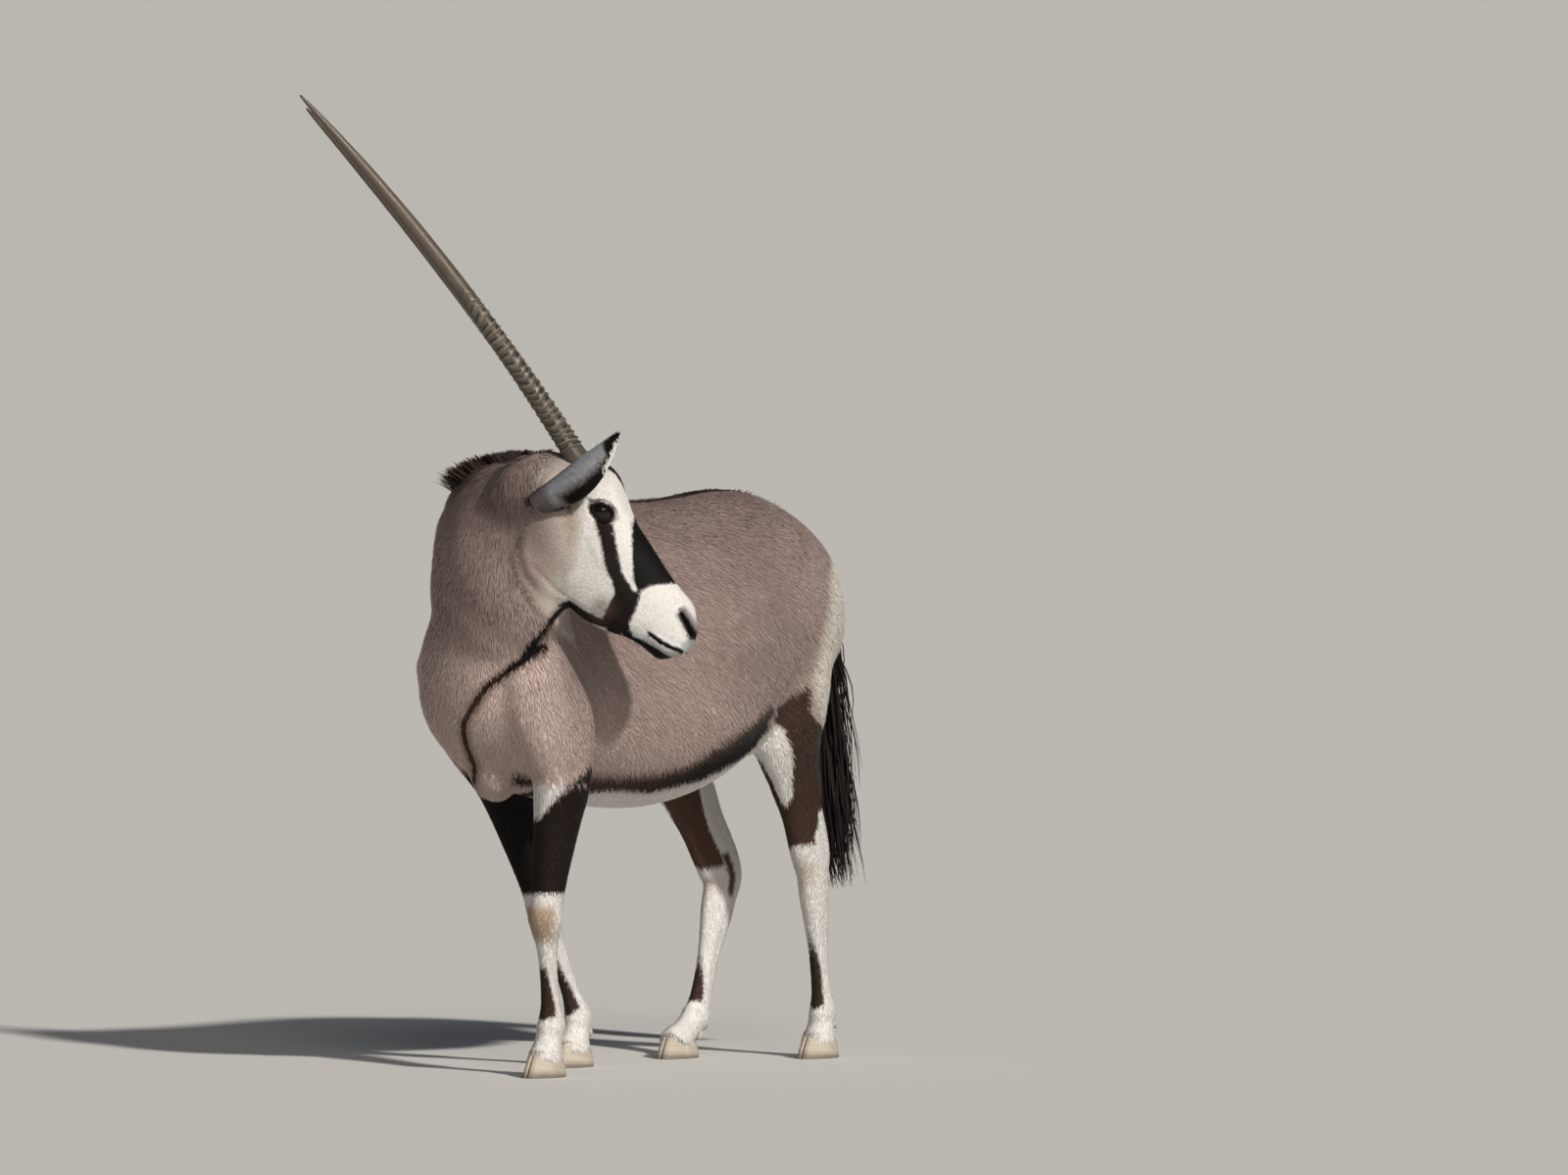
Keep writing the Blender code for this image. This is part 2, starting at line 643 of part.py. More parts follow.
def chin_set_back(head):
    """Draws the chin back under the upper lip, in the head's own frame."""
    points = points_of(head.data)
    x, z = points[:, 0], points[:, 2]
    below = smoothstep(0.002, -0.016, z - mouth_height(x))
    points[:, 0] -= CHIN_BACK * below * smoothstep(0.35, 0.42, x)
    set_points(head.data, points)


def head_node():
    """The head: a loft with raised lids, nostrils and a slit mouth, cut flat at the nape."""
    head = lengthwise("head", HEAD, HEAD_RINGS, HEAD_SIDES)
    chin_set_back(head)
    for side in ("left", "right"):
        head = with_lids(head, side)
    nostrils = []
    for side in ("left", "right"):
        tilt = Matrix.Rotation(math.radians(NOSTRIL_TILT), 4, "Y")
        nostrils.append(ball("nostril", mirrored(NOSTRIL_AT, side), NOSTRIL_SIZE, tilt))
    boolean(head, nostrils, "DIFFERENCE")
    boolean(head, mouth_slit(), "DIFFERENCE")
    bisected(head, NAPE_AT + NAPE_NORMAL * (GAP / 2), NAPE_NORMAL)
    head.data.transform(head_matrix())
    return largest(head)


def eye_frame(side):
    """The eye's centre and axes: along the lids, across them and outwards."""
    out = mirrored(Vector((0.10, 0.97, 0.20)), side).normalized()
    wide = (mirrored(Vector((0.93, 0.0, 0.37)), side) - out * out.x * 0.93).normalized()
    wide = (wide - out * out.dot(wide)).normalized()
    return mirrored(EYE_AT, side), wide, out.cross(wide), out


def with_lids(head, side):
    centre, wide, high, out = eye_frame(side)
    count = 16
    path = []
    for i in range(count):
        a = 2 * math.pi * i / count
        round_eye = wide * (LID_REACH * math.cos(a)) + high * (LID_HEIGHT * math.sin(a))
        path.append(centre + out * LID_OUT + round_eye)
    rings = []
    for i in range(count):
        along = (path[(i + 1) % count] - path[i - 1]).normalized()
        up = along.cross(out)
        rings.append(section(path[i], tuple(out), tuple(up), LID_TUBE, LID_TUBE, LID_TUBE, count=6))
    points = np.concatenate(rings)
    faces = []
    for j in range(count):
        for i in range(6):
            k, m = (i + 1) % 6, (j + 1) % count
            faces.append((j * 6 + i, j * 6 + k, m * 6 + k, m * 6 + i))
    lids = mesh_object("lids", points, faces)
    boolean(head, lids, "UNION")
    socket = ball("socket", centre, (EYE_RADIUS + GAP,) * 3, rings=10, segments=14)
    return boolean(head, socket, "DIFFERENCE")


def eye(side):
    made = ball(f"eye_{side}", mirrored(EYE_AT, side), (EYE_RADIUS,) * 3, rings=10, segments=14)
    made.data.transform(head_matrix())
    return made


def mouth_slit():
    """A thin blade bent round the muzzle along the lips."""
    rows = np.array(HEAD)
    places = np.linspace(MOUTH_CORNER, MOUTH_FRONT, 9)
    half = np.interp(places, rows[:, 0], rows[:, 4])
    inner = np.maximum(half - MOUTH_DEPTH, 0.004)
    corners = ((0, -1), (1, -1), (1, 1), (0, 1))
    sections = []
    for side in (1, -1):
        part = []
        for x, z, y in zip(places, mouth_height(places), inner):
            thick = MOUTH_GAPE / 2 * min(1, 0.35 + (x - MOUTH_CORNER) / 0.02)
            part.append([(x, side * (MOUTH_OUTSIDE if far else y), z + thick * up) for far, up in corners])
        sections.append(part)
    z, thick = mouth_height(MOUTH_FRONT), MOUTH_GAPE / 2
    nose = [(MOUTH_FRONT + 0.05 * far - 0.003, 0.0, z + thick * up) for far, up in corners]
    return loft("mouth", [np.array(ring) for ring in sections[0] + [nose] + sections[1][::-1]])


def sole_box(name):
    """Everything below a foot's coronet."""
    coronet = Vector(LEGS[name][1][-1])
    up = Vector((-CORONET_SLOPE, 0, 1)).normalized()
    fore = Vector((1, 0, CORONET_SLOPE)).normalized()
    at = (coronet.x, coronet.y, CORONET_HEIGHT)
    return box("sole", at, (fore, (0, 1, 0), up), (-0.08, -0.06, -0.08), (0.08, 0.06, 0))


def claw(name, side):
    """One half of a cloven hoof, from its flat sole up to the coronet."""
    coronet = LEGS[name][1][-1]
    angles = np.linspace(0, math.pi, 11)
    rings = []
    for height in (0.0, 0.10, 0.55, 1.0):
        taper = 1 - height if height else 1.08
        length = HOOF_TOP_LENGTH + (HOOF_SOLE_LENGTH - HOOF_TOP_LENGTH) * taper * 0.92
        width = HOOF_TOP_WIDTH + (HOOF_SOLE_WIDTH - HOOF_TOP_WIDTH) * taper * 0.92
        ahead = HOOF_SOLE_AHEAD * (1 - height)
        x = ahead + length / 2 * np.cos(angles)
        toe = 1 - HOOF_POINT * smoothstep(0, 1, np.cos(angles))
        y = CLEFT / 2 + (width - CLEFT) / 2 * toe * np.sin(angles) ** 0.75
        y[0] = y[-1] = CLEFT / 2
        top = CORONET_HEIGHT - GAP + CORONET_SLOPE * x
        ring = np.stack((coronet[0] + x, coronet[1] + side * y, top * height), axis=1)
        rings.append(ring)
    return loft(f"claw_{name}_{'outer' if (side > 0) == name.endswith('left') else 'inner'}", rings)


def with_dewclaws(leg, name):
    """Fuses the two small horny knobs behind the fetlock to a leg."""
    fetlock, coronet = (Vector(point) for point in LEGS[name][1][-2:])
    place = fetlock.lerp(coronet, DEWCLAW_DROP)
    back = (coronet - fetlock).cross(Vector((0, 1, 0))).normalized()
    knobs = []
    for side in (1, -1):
        at = place + back * DEWCLAW_BACK + Vector((0, side * DEWCLAW_ASIDE, 0))
        knobs.append(ball("dewclaw", at, DEWCLAW_SIZE, rings=6, segments=8))
    boolean(leg, knobs, "UNION")
    return largest(leg)


def torso_and_limbs():
    """The fused flesh without the head, cut into neck, torso and four legs."""
    head = lengthwise("head_form", HEAD[:SKULL_ROWS], 24, 40)
    head.data.transform(head_matrix())
    brisket = ball("brisket", BRISKET_AT, BRISKET_SIZE, rings=16, segments=24)
    forms = [lengthwise("trunk_form", TRUNK, 70, 64), neck_form(), head, brisket]
    flesh = fused(forms + [leg_form(name) for name in LEGS])
    points = points_of(flesh.data)
    axes = np.array(head_matrix().to_3x3())
    in_head = (points - np.array(HEAD_AT)) @ axes
    weight = np.clip((points[:, 2] - SMOOTH_FROM) / (SMOOTH_ALL - SMOOTH_FROM), 0, 1)
    nape = (in_head - np.array(NAPE_AT)) @ np.array(NAPE_NORMAL)
    near_head = (np.abs(in_head[:, 1]) < NAPE_REACH) & (in_head[:, 2] > -0.25)
    weight = np.where(near_head, weight * np.clip((0.005 - nape) / 0.03, 0, 1), weight)
    filled(flesh.data, CREASE_ROUNDS)
    relaxed(flesh.data, weight, 40)
    fewer = flesh.modifiers.new("Decimate", "DECIMATE")
    fewer.ratio = FLESH_TRIANGLES / (2 * len(flesh.data.polygons))
    applied(flesh)
    boolean(flesh, mane_locks(), "UNION")
    largest(flesh)
    at = planted(NAPE_AT - NAPE_NORMAL * (GAP / 2))
    turn = head_matrix().to_3x3()
    down = Vector((NAPE_NORMAL.z, 0, -NAPE_NORMAL.x))
    axes = (turn @ NAPE_NORMAL, turn @ Vector((0, 1, 0)), turn @ down)
    low, high = (0, -NAPE_REACH, -NAPE_RISE), (0.7, NAPE_REACH, NAPE_DEPTH)
    boolean(flesh, box("nape", at, axes, low, high), "DIFFERENCE")
    largest(flesh)
    for name, place in LEG_CUTS.items():
        joints = LEGS[name][1]
        k = int(place)
        bone = Vector(joints[k + 1]) - Vector(joints[k])
        at = Vector(joints[k]) + bone * (place - k)
        boolean(flesh, slab(at, bone, (0, 1, 0), *LEG_CUT_REACH), "DIFFERENCE")
        boolean(flesh, sole_box(name), "DIFFERENCE")
    boolean(flesh, slab(NECK_CUT_AT, NECK_CUT_NORMAL, (0, 1, 0), *NECK_CUT_REACH), "DIFFERENCE")
    return flesh


def crest(place):
    """The neck's upper line at a place counted in the neck's rows, with the way up and the way along."""
    row, ahead = catmull(NECK, [place, place + 0.05])
    up = unit(row[3:6])
    point = row[:3] + up * row[7]
    return point, up, unit(ahead[:3] + unit(ahead[3:6]) * ahead[7] - point)


def mane_locks():
    """Short flat locks that stand along the crest and lean back to the withers."""
    draw = random.Random(4)
    rows = np.array(MANE)
    locks = []
    for place in np.linspace(rows[0, 0], rows[-1, 0], MANE_LOCKS):
        point, up, along = crest(place)
        side = np.cross(along, up)
        lean = draw.uniform(0.20, 0.55)
        tilt = draw.uniform(-0.30, 0.30)
        length = np.interp(place, rows[:, 0], rows[:, 1]) * draw.uniform(0.8, 1.1)
        fall = np.interp(place, rows[:, 0], rows[:, 2])
        root = point - up * MANE_SUNK + side * draw.uniform(-0.010, 0.010)
        way = unit(up + side * (fall + tilt) - along * lean * (1 - fall))
        tip = root + way * length + MANE_SUNK * up
        path = [root, root * 0.55 + tip * 0.45, root * 0.2 + tip * 0.8, tip - along * length * 0.12]
        locks.append(lock("lock", path, MANE_WIDTHS, MANE_THICKNESSES, along))
    return locks


def tail(torso):
    """The dock, and a tuft of tapered locks that hang from its lower half."""
    draw = random.Random(7)
    radii = np.interp(np.linspace(0, len(TAIL_RADII) - 1, 14), range(len(TAIL_RADII)), TAIL_RADII)
    dock = tube("tail", smooth_rows(TAIL_PATH, 14), radii, (0, 1, 0), 8)
    locks = []
    for i in range(TUFT_LOCKS):
        start = TUFT_FROM + (TUFT_TO - TUFT_FROM) * i / (TUFT_LOCKS - 1)
        root = catmull(TAIL_PATH, [start])[0]
        turn = TUFT_TURN * i
        out = np.array((0.8 * math.cos(turn), math.sin(turn), 0))
        spread = TUFT_SPREAD * draw.uniform(0.45, 1.0)
        low = TUFT_END + 0.16 * (1 - i / (TUFT_LOCKS - 1)) ** 2 + draw.uniform(0, 0.03)
        path = []
        for t in (0, 0.15, 0.35, 0.6, 0.85, 1):
            out_by = spread * (0.10 + 0.90 * math.sin(math.pi * 0.62 * t))
            aside = root[:2] + out[:2] * out_by + TUFT_DRIFT * t
            path.append((*aside, root[2] + (low - root[2]) * t))
        flat = (-out[1], out[0], 0)
        locks.append(lock("lock", path, TUFT_WIDTHS, TUFT_THICKNESSES, flat))
    boolean(dock, locks, "UNION")
    largest(dock)
    boolean(dock, grown(torso, GAP), "DIFFERENCE")
    return largest(dock)


def finished(obj, colour, roughness):
    """Gives an object its own material and smooth shading."""
    material = bpy.data.materials.new(obj.name)
    material.use_nodes = True
    shader = material.node_tree.nodes["Principled BSDF"]
    shader.inputs["Base Color"].default_value = (*colour, 1)
    shader.inputs["Roughness"].default_value = roughness
    shader.inputs["Metallic"].default_value = 0
    obj.data.materials.clear()
    obj.data.materials.append(material)
    obj.data.shade_smooth()
    obj.data.set_sharp_from_angle(angle=math.radians(40))


def centred():
    """Moves every piece so that the ground below the middle of the whole is the origin."""
    corners = np.concatenate([points_of(obj.data) for obj in bpy.data.objects])
    low, high = corners.min(axis=0), corners.max(axis=0)
    shift = Vector((-(low[0] + high[0]) / 2, -(low[1] + high[1]) / 2, -low[2]))
    for obj in bpy.data.objects:
        obj.data.transform(Matrix.Translation(shift))


# What each island of the cut flesh is, by the node whose middle is nearest.
MIDDLES = {
    "torso": Vector((-0.05, 0.0, 0.84)),
    "neck": Vector((0.47, 0.06, 1.00)),
    "leg_front_left": Vector((0.41, 0.12, 0.30)),
    "leg_front_right": Vector((0.16, -0.10, 0.30)),
    "leg_hind_left": Vector((-0.41, 0.13, 0.35)),
    "leg_hind_right": Vector((-0.38, -0.11, 0.30)),
}
COLOURS = {
    "torso": ((0.30, 0.235, 0.19), 0.8),
    "neck": ((0.28, 0.225, 0.19), 0.8),
    "leg": ((0.55, 0.50, 0.43), 0.8),
    "head": ((0.55, 0.50, 0.44), 0.8),
    "ear": ((0.20, 0.19, 0.18), 0.8),
    "eye": ((0.012, 0.008, 0.006), 0.08),
    "horn": ((0.085, 0.070, 0.058), 0.45),
    "claw": ((0.16, 0.14, 0.12), 0.55),
    "tail": ((0.02, 0.018, 0.017), 0.7),
}


def main():
    for obj in list(bpy.data.objects):
        bpy.data.objects.remove(obj)
    flesh = torso_and_limbs()
    made = {}
    for faces in islands(flesh):
        middle = sum((flesh.data.polygons[i].center for i in faces), Vector()) / len(faces)
        name = min(MIDDLES, key=lambda n: (MIDDLES[n] - middle).length)
        if name not in made or len(faces) > made[name][0]:
            made[name] = (len(faces), faces)
    nodes = {name: piece_of(flesh, faces, name) for name, (_, faces) in made.items()}
    bpy.data.objects.remove(flesh)
    head = head_node()
    boolean(nodes["neck"], grown(head, GAP), "DIFFERENCE")
    largest(nodes["neck"])
    tail(nodes["torso"])
    for name in LEGS:
        with_dewclaws(nodes[f"leg_{name}"], name)
    for side in ("left", "right"):
        eye(side)
        for piece in (horn(side), ear(side)):
            for base in (head, nodes["neck"]):
                boolean(piece, grown(base, 2 * GAP), "DIFFERENCE")
            largest(piece)
    for name in LEGS:
        for side in (1, -1):
            claw(name, side)
    for obj in bpy.data.objects:
        colour, roughness = COLOURS[obj.name.split("_")[0]]
        finished(obj, colour, roughness)
    centred()


main()
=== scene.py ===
import math

import bmesh
import bpy
import numpy as np
from mathutils import Matrix, Vector


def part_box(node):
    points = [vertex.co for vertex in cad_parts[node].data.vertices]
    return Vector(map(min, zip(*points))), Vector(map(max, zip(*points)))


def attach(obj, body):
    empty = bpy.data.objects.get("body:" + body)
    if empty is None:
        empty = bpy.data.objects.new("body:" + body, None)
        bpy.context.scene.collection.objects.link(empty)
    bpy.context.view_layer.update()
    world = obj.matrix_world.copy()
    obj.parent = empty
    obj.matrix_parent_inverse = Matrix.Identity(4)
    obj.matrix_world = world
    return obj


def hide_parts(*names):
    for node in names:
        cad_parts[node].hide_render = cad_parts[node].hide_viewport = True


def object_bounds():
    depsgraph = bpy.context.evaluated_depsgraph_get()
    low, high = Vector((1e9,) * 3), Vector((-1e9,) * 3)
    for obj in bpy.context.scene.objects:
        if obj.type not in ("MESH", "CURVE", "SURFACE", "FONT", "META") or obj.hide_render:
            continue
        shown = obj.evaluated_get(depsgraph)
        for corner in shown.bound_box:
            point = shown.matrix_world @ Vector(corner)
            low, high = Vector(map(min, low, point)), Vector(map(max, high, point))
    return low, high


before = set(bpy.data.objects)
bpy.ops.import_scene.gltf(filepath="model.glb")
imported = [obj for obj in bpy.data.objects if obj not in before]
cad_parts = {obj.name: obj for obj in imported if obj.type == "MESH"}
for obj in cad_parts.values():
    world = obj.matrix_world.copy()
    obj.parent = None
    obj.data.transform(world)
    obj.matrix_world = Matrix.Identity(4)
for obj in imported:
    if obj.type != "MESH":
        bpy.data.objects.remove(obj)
cad_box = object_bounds()

# ---------------------------------------------------------------- driving dimensions, in metres
VOXEL = 0.004
CREASE_ROUNDS, RELAX_ROUNDS = 135, 90
SKIN_SHARE = 0.40
COAT_DEPTH = {"trunk": 0.0028, "neck": 0.0045, "head": 0.0008, "leg": 0.0012}
COAT_LENGTH = {"trunk": 0.018, "neck": 0.026, "head": 0.0085, "leg": 0.0100}
COAT_WIDTH = {"trunk": 0.0019, "neck": 0.0021, "head": 0.0014, "leg": 0.0016}
COAT_COUNT = {"trunk": 58000, "neck": 62000, "head": 135000, "leg": 100000}
QUICK_SHARE, COAT_SEED = 0.35, 11
# the seed of each kind of long hair, and how many hairs each piece of it has
LONG_HAIR = {
    "mane": (4, 1700),
    "tail": (7, 720),
    "back_ridge": (9, 2600),
    "ear": (21, 150),
    "lashes": (5, 46),
    "coronet": (31, 900),
}
# each side, with the sign of its y
SIDES = {"left": 1, "right": -1}

HEAD_AT = Vector((0.444, 0.246, 1.217))
HEAD_YAW, HEAD_PITCH, HEAD_ROLL = 119.0, 64.0, 4.0
EYE_AT = Vector((0.107, 0.053, -0.014))
NAPE_AT, NAPE_NORMAL = Vector((0.0225, 0.0, -0.1275)), Vector((0.749, 0.0, 0.663))

HORN_ROOT = Vector((-0.024, 0.036, -0.018))
HORN_TIPS = {"left": Vector((-0.884, 0.160, -0.217)), "right": Vector((-0.880, -0.160, -0.184))}
HORN_BOWS = {"left": 0.018, "right": 0.022}
HORN_RADIUS, HORN_TIP_RADIUS, HORN_DEPTH = 0.0195, 0.0016, 0.020
HORN_RINGS, RINGED_PART = 24, 0.45

EAR_ROOT = Vector((0.020, 0.072, -0.129))
EAR_TIPS = {"left": Vector((-0.030, 0.172, 0.018)), "right": Vector((-0.013, -0.136, 0.092))}
EAR_OPENS = Vector((0.75, -0.65, 0.0))
EAR_BACK, EAR_BOW, EAR_BOW_WAY = 0.016, 0.016, Vector((0.94, 0.0, 0.33))
# place along the ear, half width, half of the turn of its curl in degrees
EAR_SHAPE = (
    (0.00, 0.023, 150),
    (0.12, 0.029, 140),
    (0.25, 0.033, 118),
    (0.40, 0.040, 98),
    (0.55, 0.044, 84),
    (0.70, 0.041, 72),
    (0.84, 0.029, 62),
    (0.94, 0.013, 55),
    (1.00, 0.004, 50),
)

TAIL_PATH = (
    (-0.490, 0.000, 1.030),
    (-0.545, 0.000, 1.022),
    (-0.588, 0.000, 0.985),
    (-0.604, 0.000, 0.910),
    (-0.608, 0.000, 0.820),
    (-0.610, 0.000, 0.730),
    (-0.614, 0.000, 0.660),
)
TAIL_RADII = (0.024, 0.022, 0.019, 0.015, 0.012, 0.010, 0.007)
TUFT_END, TUFT_SPREAD, TUFT_DRIFT = 0.33, 0.052, (-0.016, 0.018)
# place along the neck's rows, length of the locks there, how far they fall to the bend's outer side
MANE = (
    (1.5, 0.018, 0.0),
    (2.0, 0.046, 0.3),
    (2.6, 0.055, 0.5),
    (3.2, 0.048, 0.4),
    (3.7, 0.030, 0.2),
    (4.1, 0.016, 0.0),
    (5.7, 0.012, 0.0),
)

# x, top, height of the widest part, bottom, half width, power of the upper half and of the lower half
TRUNK = (
    (-0.572, 0.925, 0.900, 0.875, 0.012, 2.0, 2.0),
    (-0.565, 0.965, 0.905, 0.845, 0.052, 2.0, 2.0),
    (-0.548, 1.010, 0.895, 0.800, 0.096, 2.0, 2.0),
    (-0.510, 1.062, 0.885, 0.750, 0.140, 2.1, 2.0),
    (-0.430, 1.112, 0.880, 0.665, 0.175, 2.1, 2.1),
    (-0.330, 1.146, 0.880, 0.635, 0.196, 2.0, 2.2),
    (-0.220, 1.150, 0.820, 0.590, 0.210, 2.0, 2.3),
    (-0.100, 1.136, 0.770, 0.545, 0.230, 2.0, 2.3),
    (0.020, 1.130, 0.750, 0.520, 0.232, 1.9, 2.2),
    (0.140, 1.142, 0.760, 0.524, 0.212, 1.8, 2.1),
    (0.260, 1.172, 0.780, 0.540, 0.182, 1.7, 2.0),
    (0.360, 1.160, 0.790, 0.555, 0.160, 1.8, 2.0),
    (0.440, 1.090, 0.790, 0.580, 0.150, 2.0, 2.0),
    (0.510, 1.000, 0.775, 0.622, 0.126, 2.0, 2.0),
    (0.550, 0.915, 0.765, 0.662, 0.094, 2.0, 2.0),
    (0.568, 0.850, 0.765, 0.700, 0.056, 2.0, 2.0),
    (0.574, 0.780, 0.765, 0.750, 0.016, 2.0, 2.0),
)
# middle (x, y, z), way up (x, y, z), half width, height above the middle and depth below it
NECK = (
    (0.220, 0.000, 0.980, -0.10, 0.00, 1.00, 0.130, 0.180, 0.230),
    (0.330, -0.005, 0.975, -0.15, -0.05, 0.98, 0.128, 0.188, 0.225),
    (0.436, 0.002, 0.945, -0.20, -0.28, 0.93, 0.126, 0.222, 0.190),
    (0.474, 0.050, 0.985, -0.06, -0.44, 0.90, 0.108, 0.210, 0.172),
    (0.478, 0.102, 1.030, -0.03, -0.36, 0.93, 0.086, 0.206, 0.150),
    (0.464, 0.160, 1.065, 0.04, -0.16, 0.98, 0.078, 0.168, 0.135),
    (0.440, 0.205, 1.080, 0.12, -0.06, 0.98, 0.068, 0.130, 0.112),
)
# the same columns as the trunk's, in the head's frame
HEAD = (
    (-0.062, -0.080, -0.120, -0.160, 0.030, 2.0, 2.0),
    (-0.045, -0.052, -0.115, -0.185, 0.052, 2.1, 2.0),
    (-0.015, -0.015, -0.095, -0.200, 0.063, 2.2, 2.0),
    (0.020, 0.028, -0.070, -0.200, 0.068, 2.4, 2.0),
    (0.050, 0.041, -0.045, -0.196, 0.071, 2.6, 1.9),
    (0.085, 0.040, -0.032, -0.197, 0.074, 2.5, 1.8),
    (0.120, 0.035, -0.036, -0.203, 0.073, 2.3, 1.8),
    (0.155, 0.034, -0.046, -0.201, 0.067, 2.1, 1.8),
    (0.195, 0.039, -0.052, -0.185, 0.059, 2.0, 1.8),
    (0.235, 0.044, -0.050, -0.163, 0.050, 2.0, 1.7),
    (0.275, 0.049, -0.042, -0.144, 0.043, 2.0, 1.8),
    (0.312, 0.057, -0.028, -0.118, 0.039, 2.1, 1.9),
    (0.345, 0.064, -0.010, -0.083, 0.041, 2.3, 2.0),
    (0.375, 0.057, 0.000, -0.064, 0.043, 2.4, 2.1),
    (0.400, 0.046, 0.002, -0.054, 0.041, 2.4, 2.2),
    (0.418, 0.028, 0.000, -0.044, 0.034, 2.3, 2.2),
    (0.427, 0.008, -0.008, -0.024, 0.018, 2.0, 2.0),
)
# place along the leg's joints, half depth, half width
FRONT_FLESH = (
    (0.00, 0.060, 0.040),
    (0.50, 0.095, 0.052),
    (1.00, 0.105, 0.060),
    (1.50, 0.100, 0.060),
    (2.00, 0.074, 0.050),
    (2.25, 0.057, 0.044),
    (2.50, 0.047, 0.038),
    (2.75, 0.038, 0.033),
    (2.92, 0.035, 0.031),
    (3.05, 0.036, 0.032),
    (3.18, 0.030, 0.027),
    (3.30, 0.023, 0.020),
    (3.50, 0.0195, 0.0170),
    (3.80, 0.0200, 0.0175),
    (3.93, 0.027, 0.022),
    (4.05, 0.032, 0.026),
    (4.40, 0.029, 0.025),
    (4.70, 0.031, 0.028),
    (5.00, 0.038, 0.031),
    (5.50, 0.041, 0.033),
)
HIND_FLESH = (
    (0.00, 0.120, 0.075),
    (0.50, 0.125, 0.078),
    (0.80, 0.110, 0.066),
    (1.00, 0.097, 0.055),
    (1.30, 0.073, 0.040),
    (1.50, 0.060, 0.034),
    (1.66, 0.053, 0.031),
    (1.82, 0.053, 0.030),
    (2.00, 0.050, 0.029),
    (2.12, 0.039, 0.0275),
    (2.25, 0.036, 0.0265),
    (2.36, 0.032, 0.0235),
    (2.50, 0.026, 0.0200),
    (2.65, 0.0225, 0.0175),
    (2.85, 0.0225, 0.0175),
    (2.95, 0.027, 0.022),
    (3.05, 0.032, 0.025),
    (3.40, 0.029, 0.025),
    (3.70, 0.031, 0.028),
    (4.00, 0.038, 0.031),
    (4.50, 0.041, 0.033),
)
# The right hind leg is a little deeper down to the fetlock, and its low pastern is thinner.
HIND_RIGHT_FLESH = tuple(
    (place, deep * float(np.interp(place, (2.9, 3.7), (1.14, 0.84))), wide)
    for place, deep, wide in HIND_FLESH
)
LEGS = {
    "front_left": (
        FRONT_FLESH,
        ((0.33, 0.060, 1.06), (0.445, 0.118, 0.80), (0.385, 0.135, 0.600), (0.430, 0.125, 0.325),
         (0.398, 0.115, 0.105), (0.414, 0.113, 0.040)),
    ),
    "front_right": (
        FRONT_FLESH,
        ((0.33, -0.060, 1.06), (0.420, -0.118, 0.80), (0.255, -0.135, 0.600), (0.163, -0.100, 0.325),
         (0.088, -0.070, 0.100), (0.106, -0.068, 0.040)),
    ),
    "hind_left": (
        HIND_FLESH,
        ((-0.360, 0.085, 0.93), (-0.315, 0.140, 0.660), (-0.402, 0.137, 0.410), (-0.459, 0.122, 0.096),
         (-0.452, 0.118, 0.040)),
    ),
    "hind_right": (
        HIND_RIGHT_FLESH,
        ((-0.360, -0.085, 0.93), (-0.270, -0.140, 0.660), (-0.439, -0.120, 0.365), (-0.337, -0.105, 0.085),
         (-0.270, -0.100, 0.040)),
    ),
}
HOOF_TOP_LENGTH, HOOF_TOP_WIDTH = 0.082, 0.061
HOOF_SOLE_LENGTH, HOOF_SOLE_WIDTH, HOOF_SOLE_AHEAD = 0.108, 0.066, 0.007
CORONET_HEIGHT, CORONET_SLOPE, CLEFT, HOOF_POINT = 0.035, 0.22, 0.004, 0.25
NECK_ROOT, NECK_WAY = np.array((0.40, 0.0, 0.97)), (0.80, 0.05, 0.62)
BRISKET_AT, BRISKET_SIZE = Vector((0.430, 0.000, 0.622)), Vector((0.062, 0.054, 0.078))
MOUTH_CORNER, MOUTH_LOW, MOUTH_RISE, MOUTH_LIP, CHIN_BACK = 0.354, -0.042, 0.046, 0.415, 0.007


# ---------------------------------------------------------------- shared shape tools
def catmull(rows, places):
    """Rows of numbers read from a smooth curve through them, at places counted in rows."""
    rows = np.array(rows, float)
    places = np.asarray(places, float)
    i = np.clip(places.astype(int), 0, len(rows) - 2)
    f = (places - i)[:, None]
    padded = np.vstack([2 * rows[0] - rows[1], rows, 2 * rows[-1] - rows[-2]])
    a, b, c, d = padded[i], padded[i + 1], padded[i + 2], padded[i + 3]
    return b + 0.5 * f * (c - a + f * (2 * a - 5 * b + 4 * c - d + f * (3 * b - a - 3 * c + d)))


def smooth_rows(rows, count):
    return catmull(rows, np.linspace(0, len(rows) - 1, count))


def unit(v):
    v = np.asarray(v, float)
    return v / np.maximum(np.linalg.norm(v, axis=-1, keepdims=True), 1e-12)


def smoothstep(low, high, value):
    """0 up to low, 1 from high on, and smooth between. It falls where low is above high."""
    t = np.clip((value - low) / (high - low), 0, 1)
    return t * t * (3 - 2 * t)


def section(centre, side, up, width, top, bottom, upper=2.0, lower=2.0, count=64):
    """Points of a rounded section that reaches width to each side, top upwards and bottom downwards."""
    angle = np.arange(count) * 2 * math.pi / count
    c, s = np.cos(angle), np.sin(angle)
    power = 2 / np.where(s > 0, upper, lower)
    across = width * np.sign(c) * np.abs(c) ** power
    along = np.where(s > 0, top, bottom) * np.sign(s) * np.abs(s) ** power
    return np.array(centre) + across[:, None] * np.array(side) + along[:, None] * np.array(up)


def read(table, places, *columns):
    """Columns of a table at places along its first column, with straight lines between its rows."""
    rows = np.array(table)
    return [np.interp(places, rows[:, 0], rows[:, k]) for k in columns]


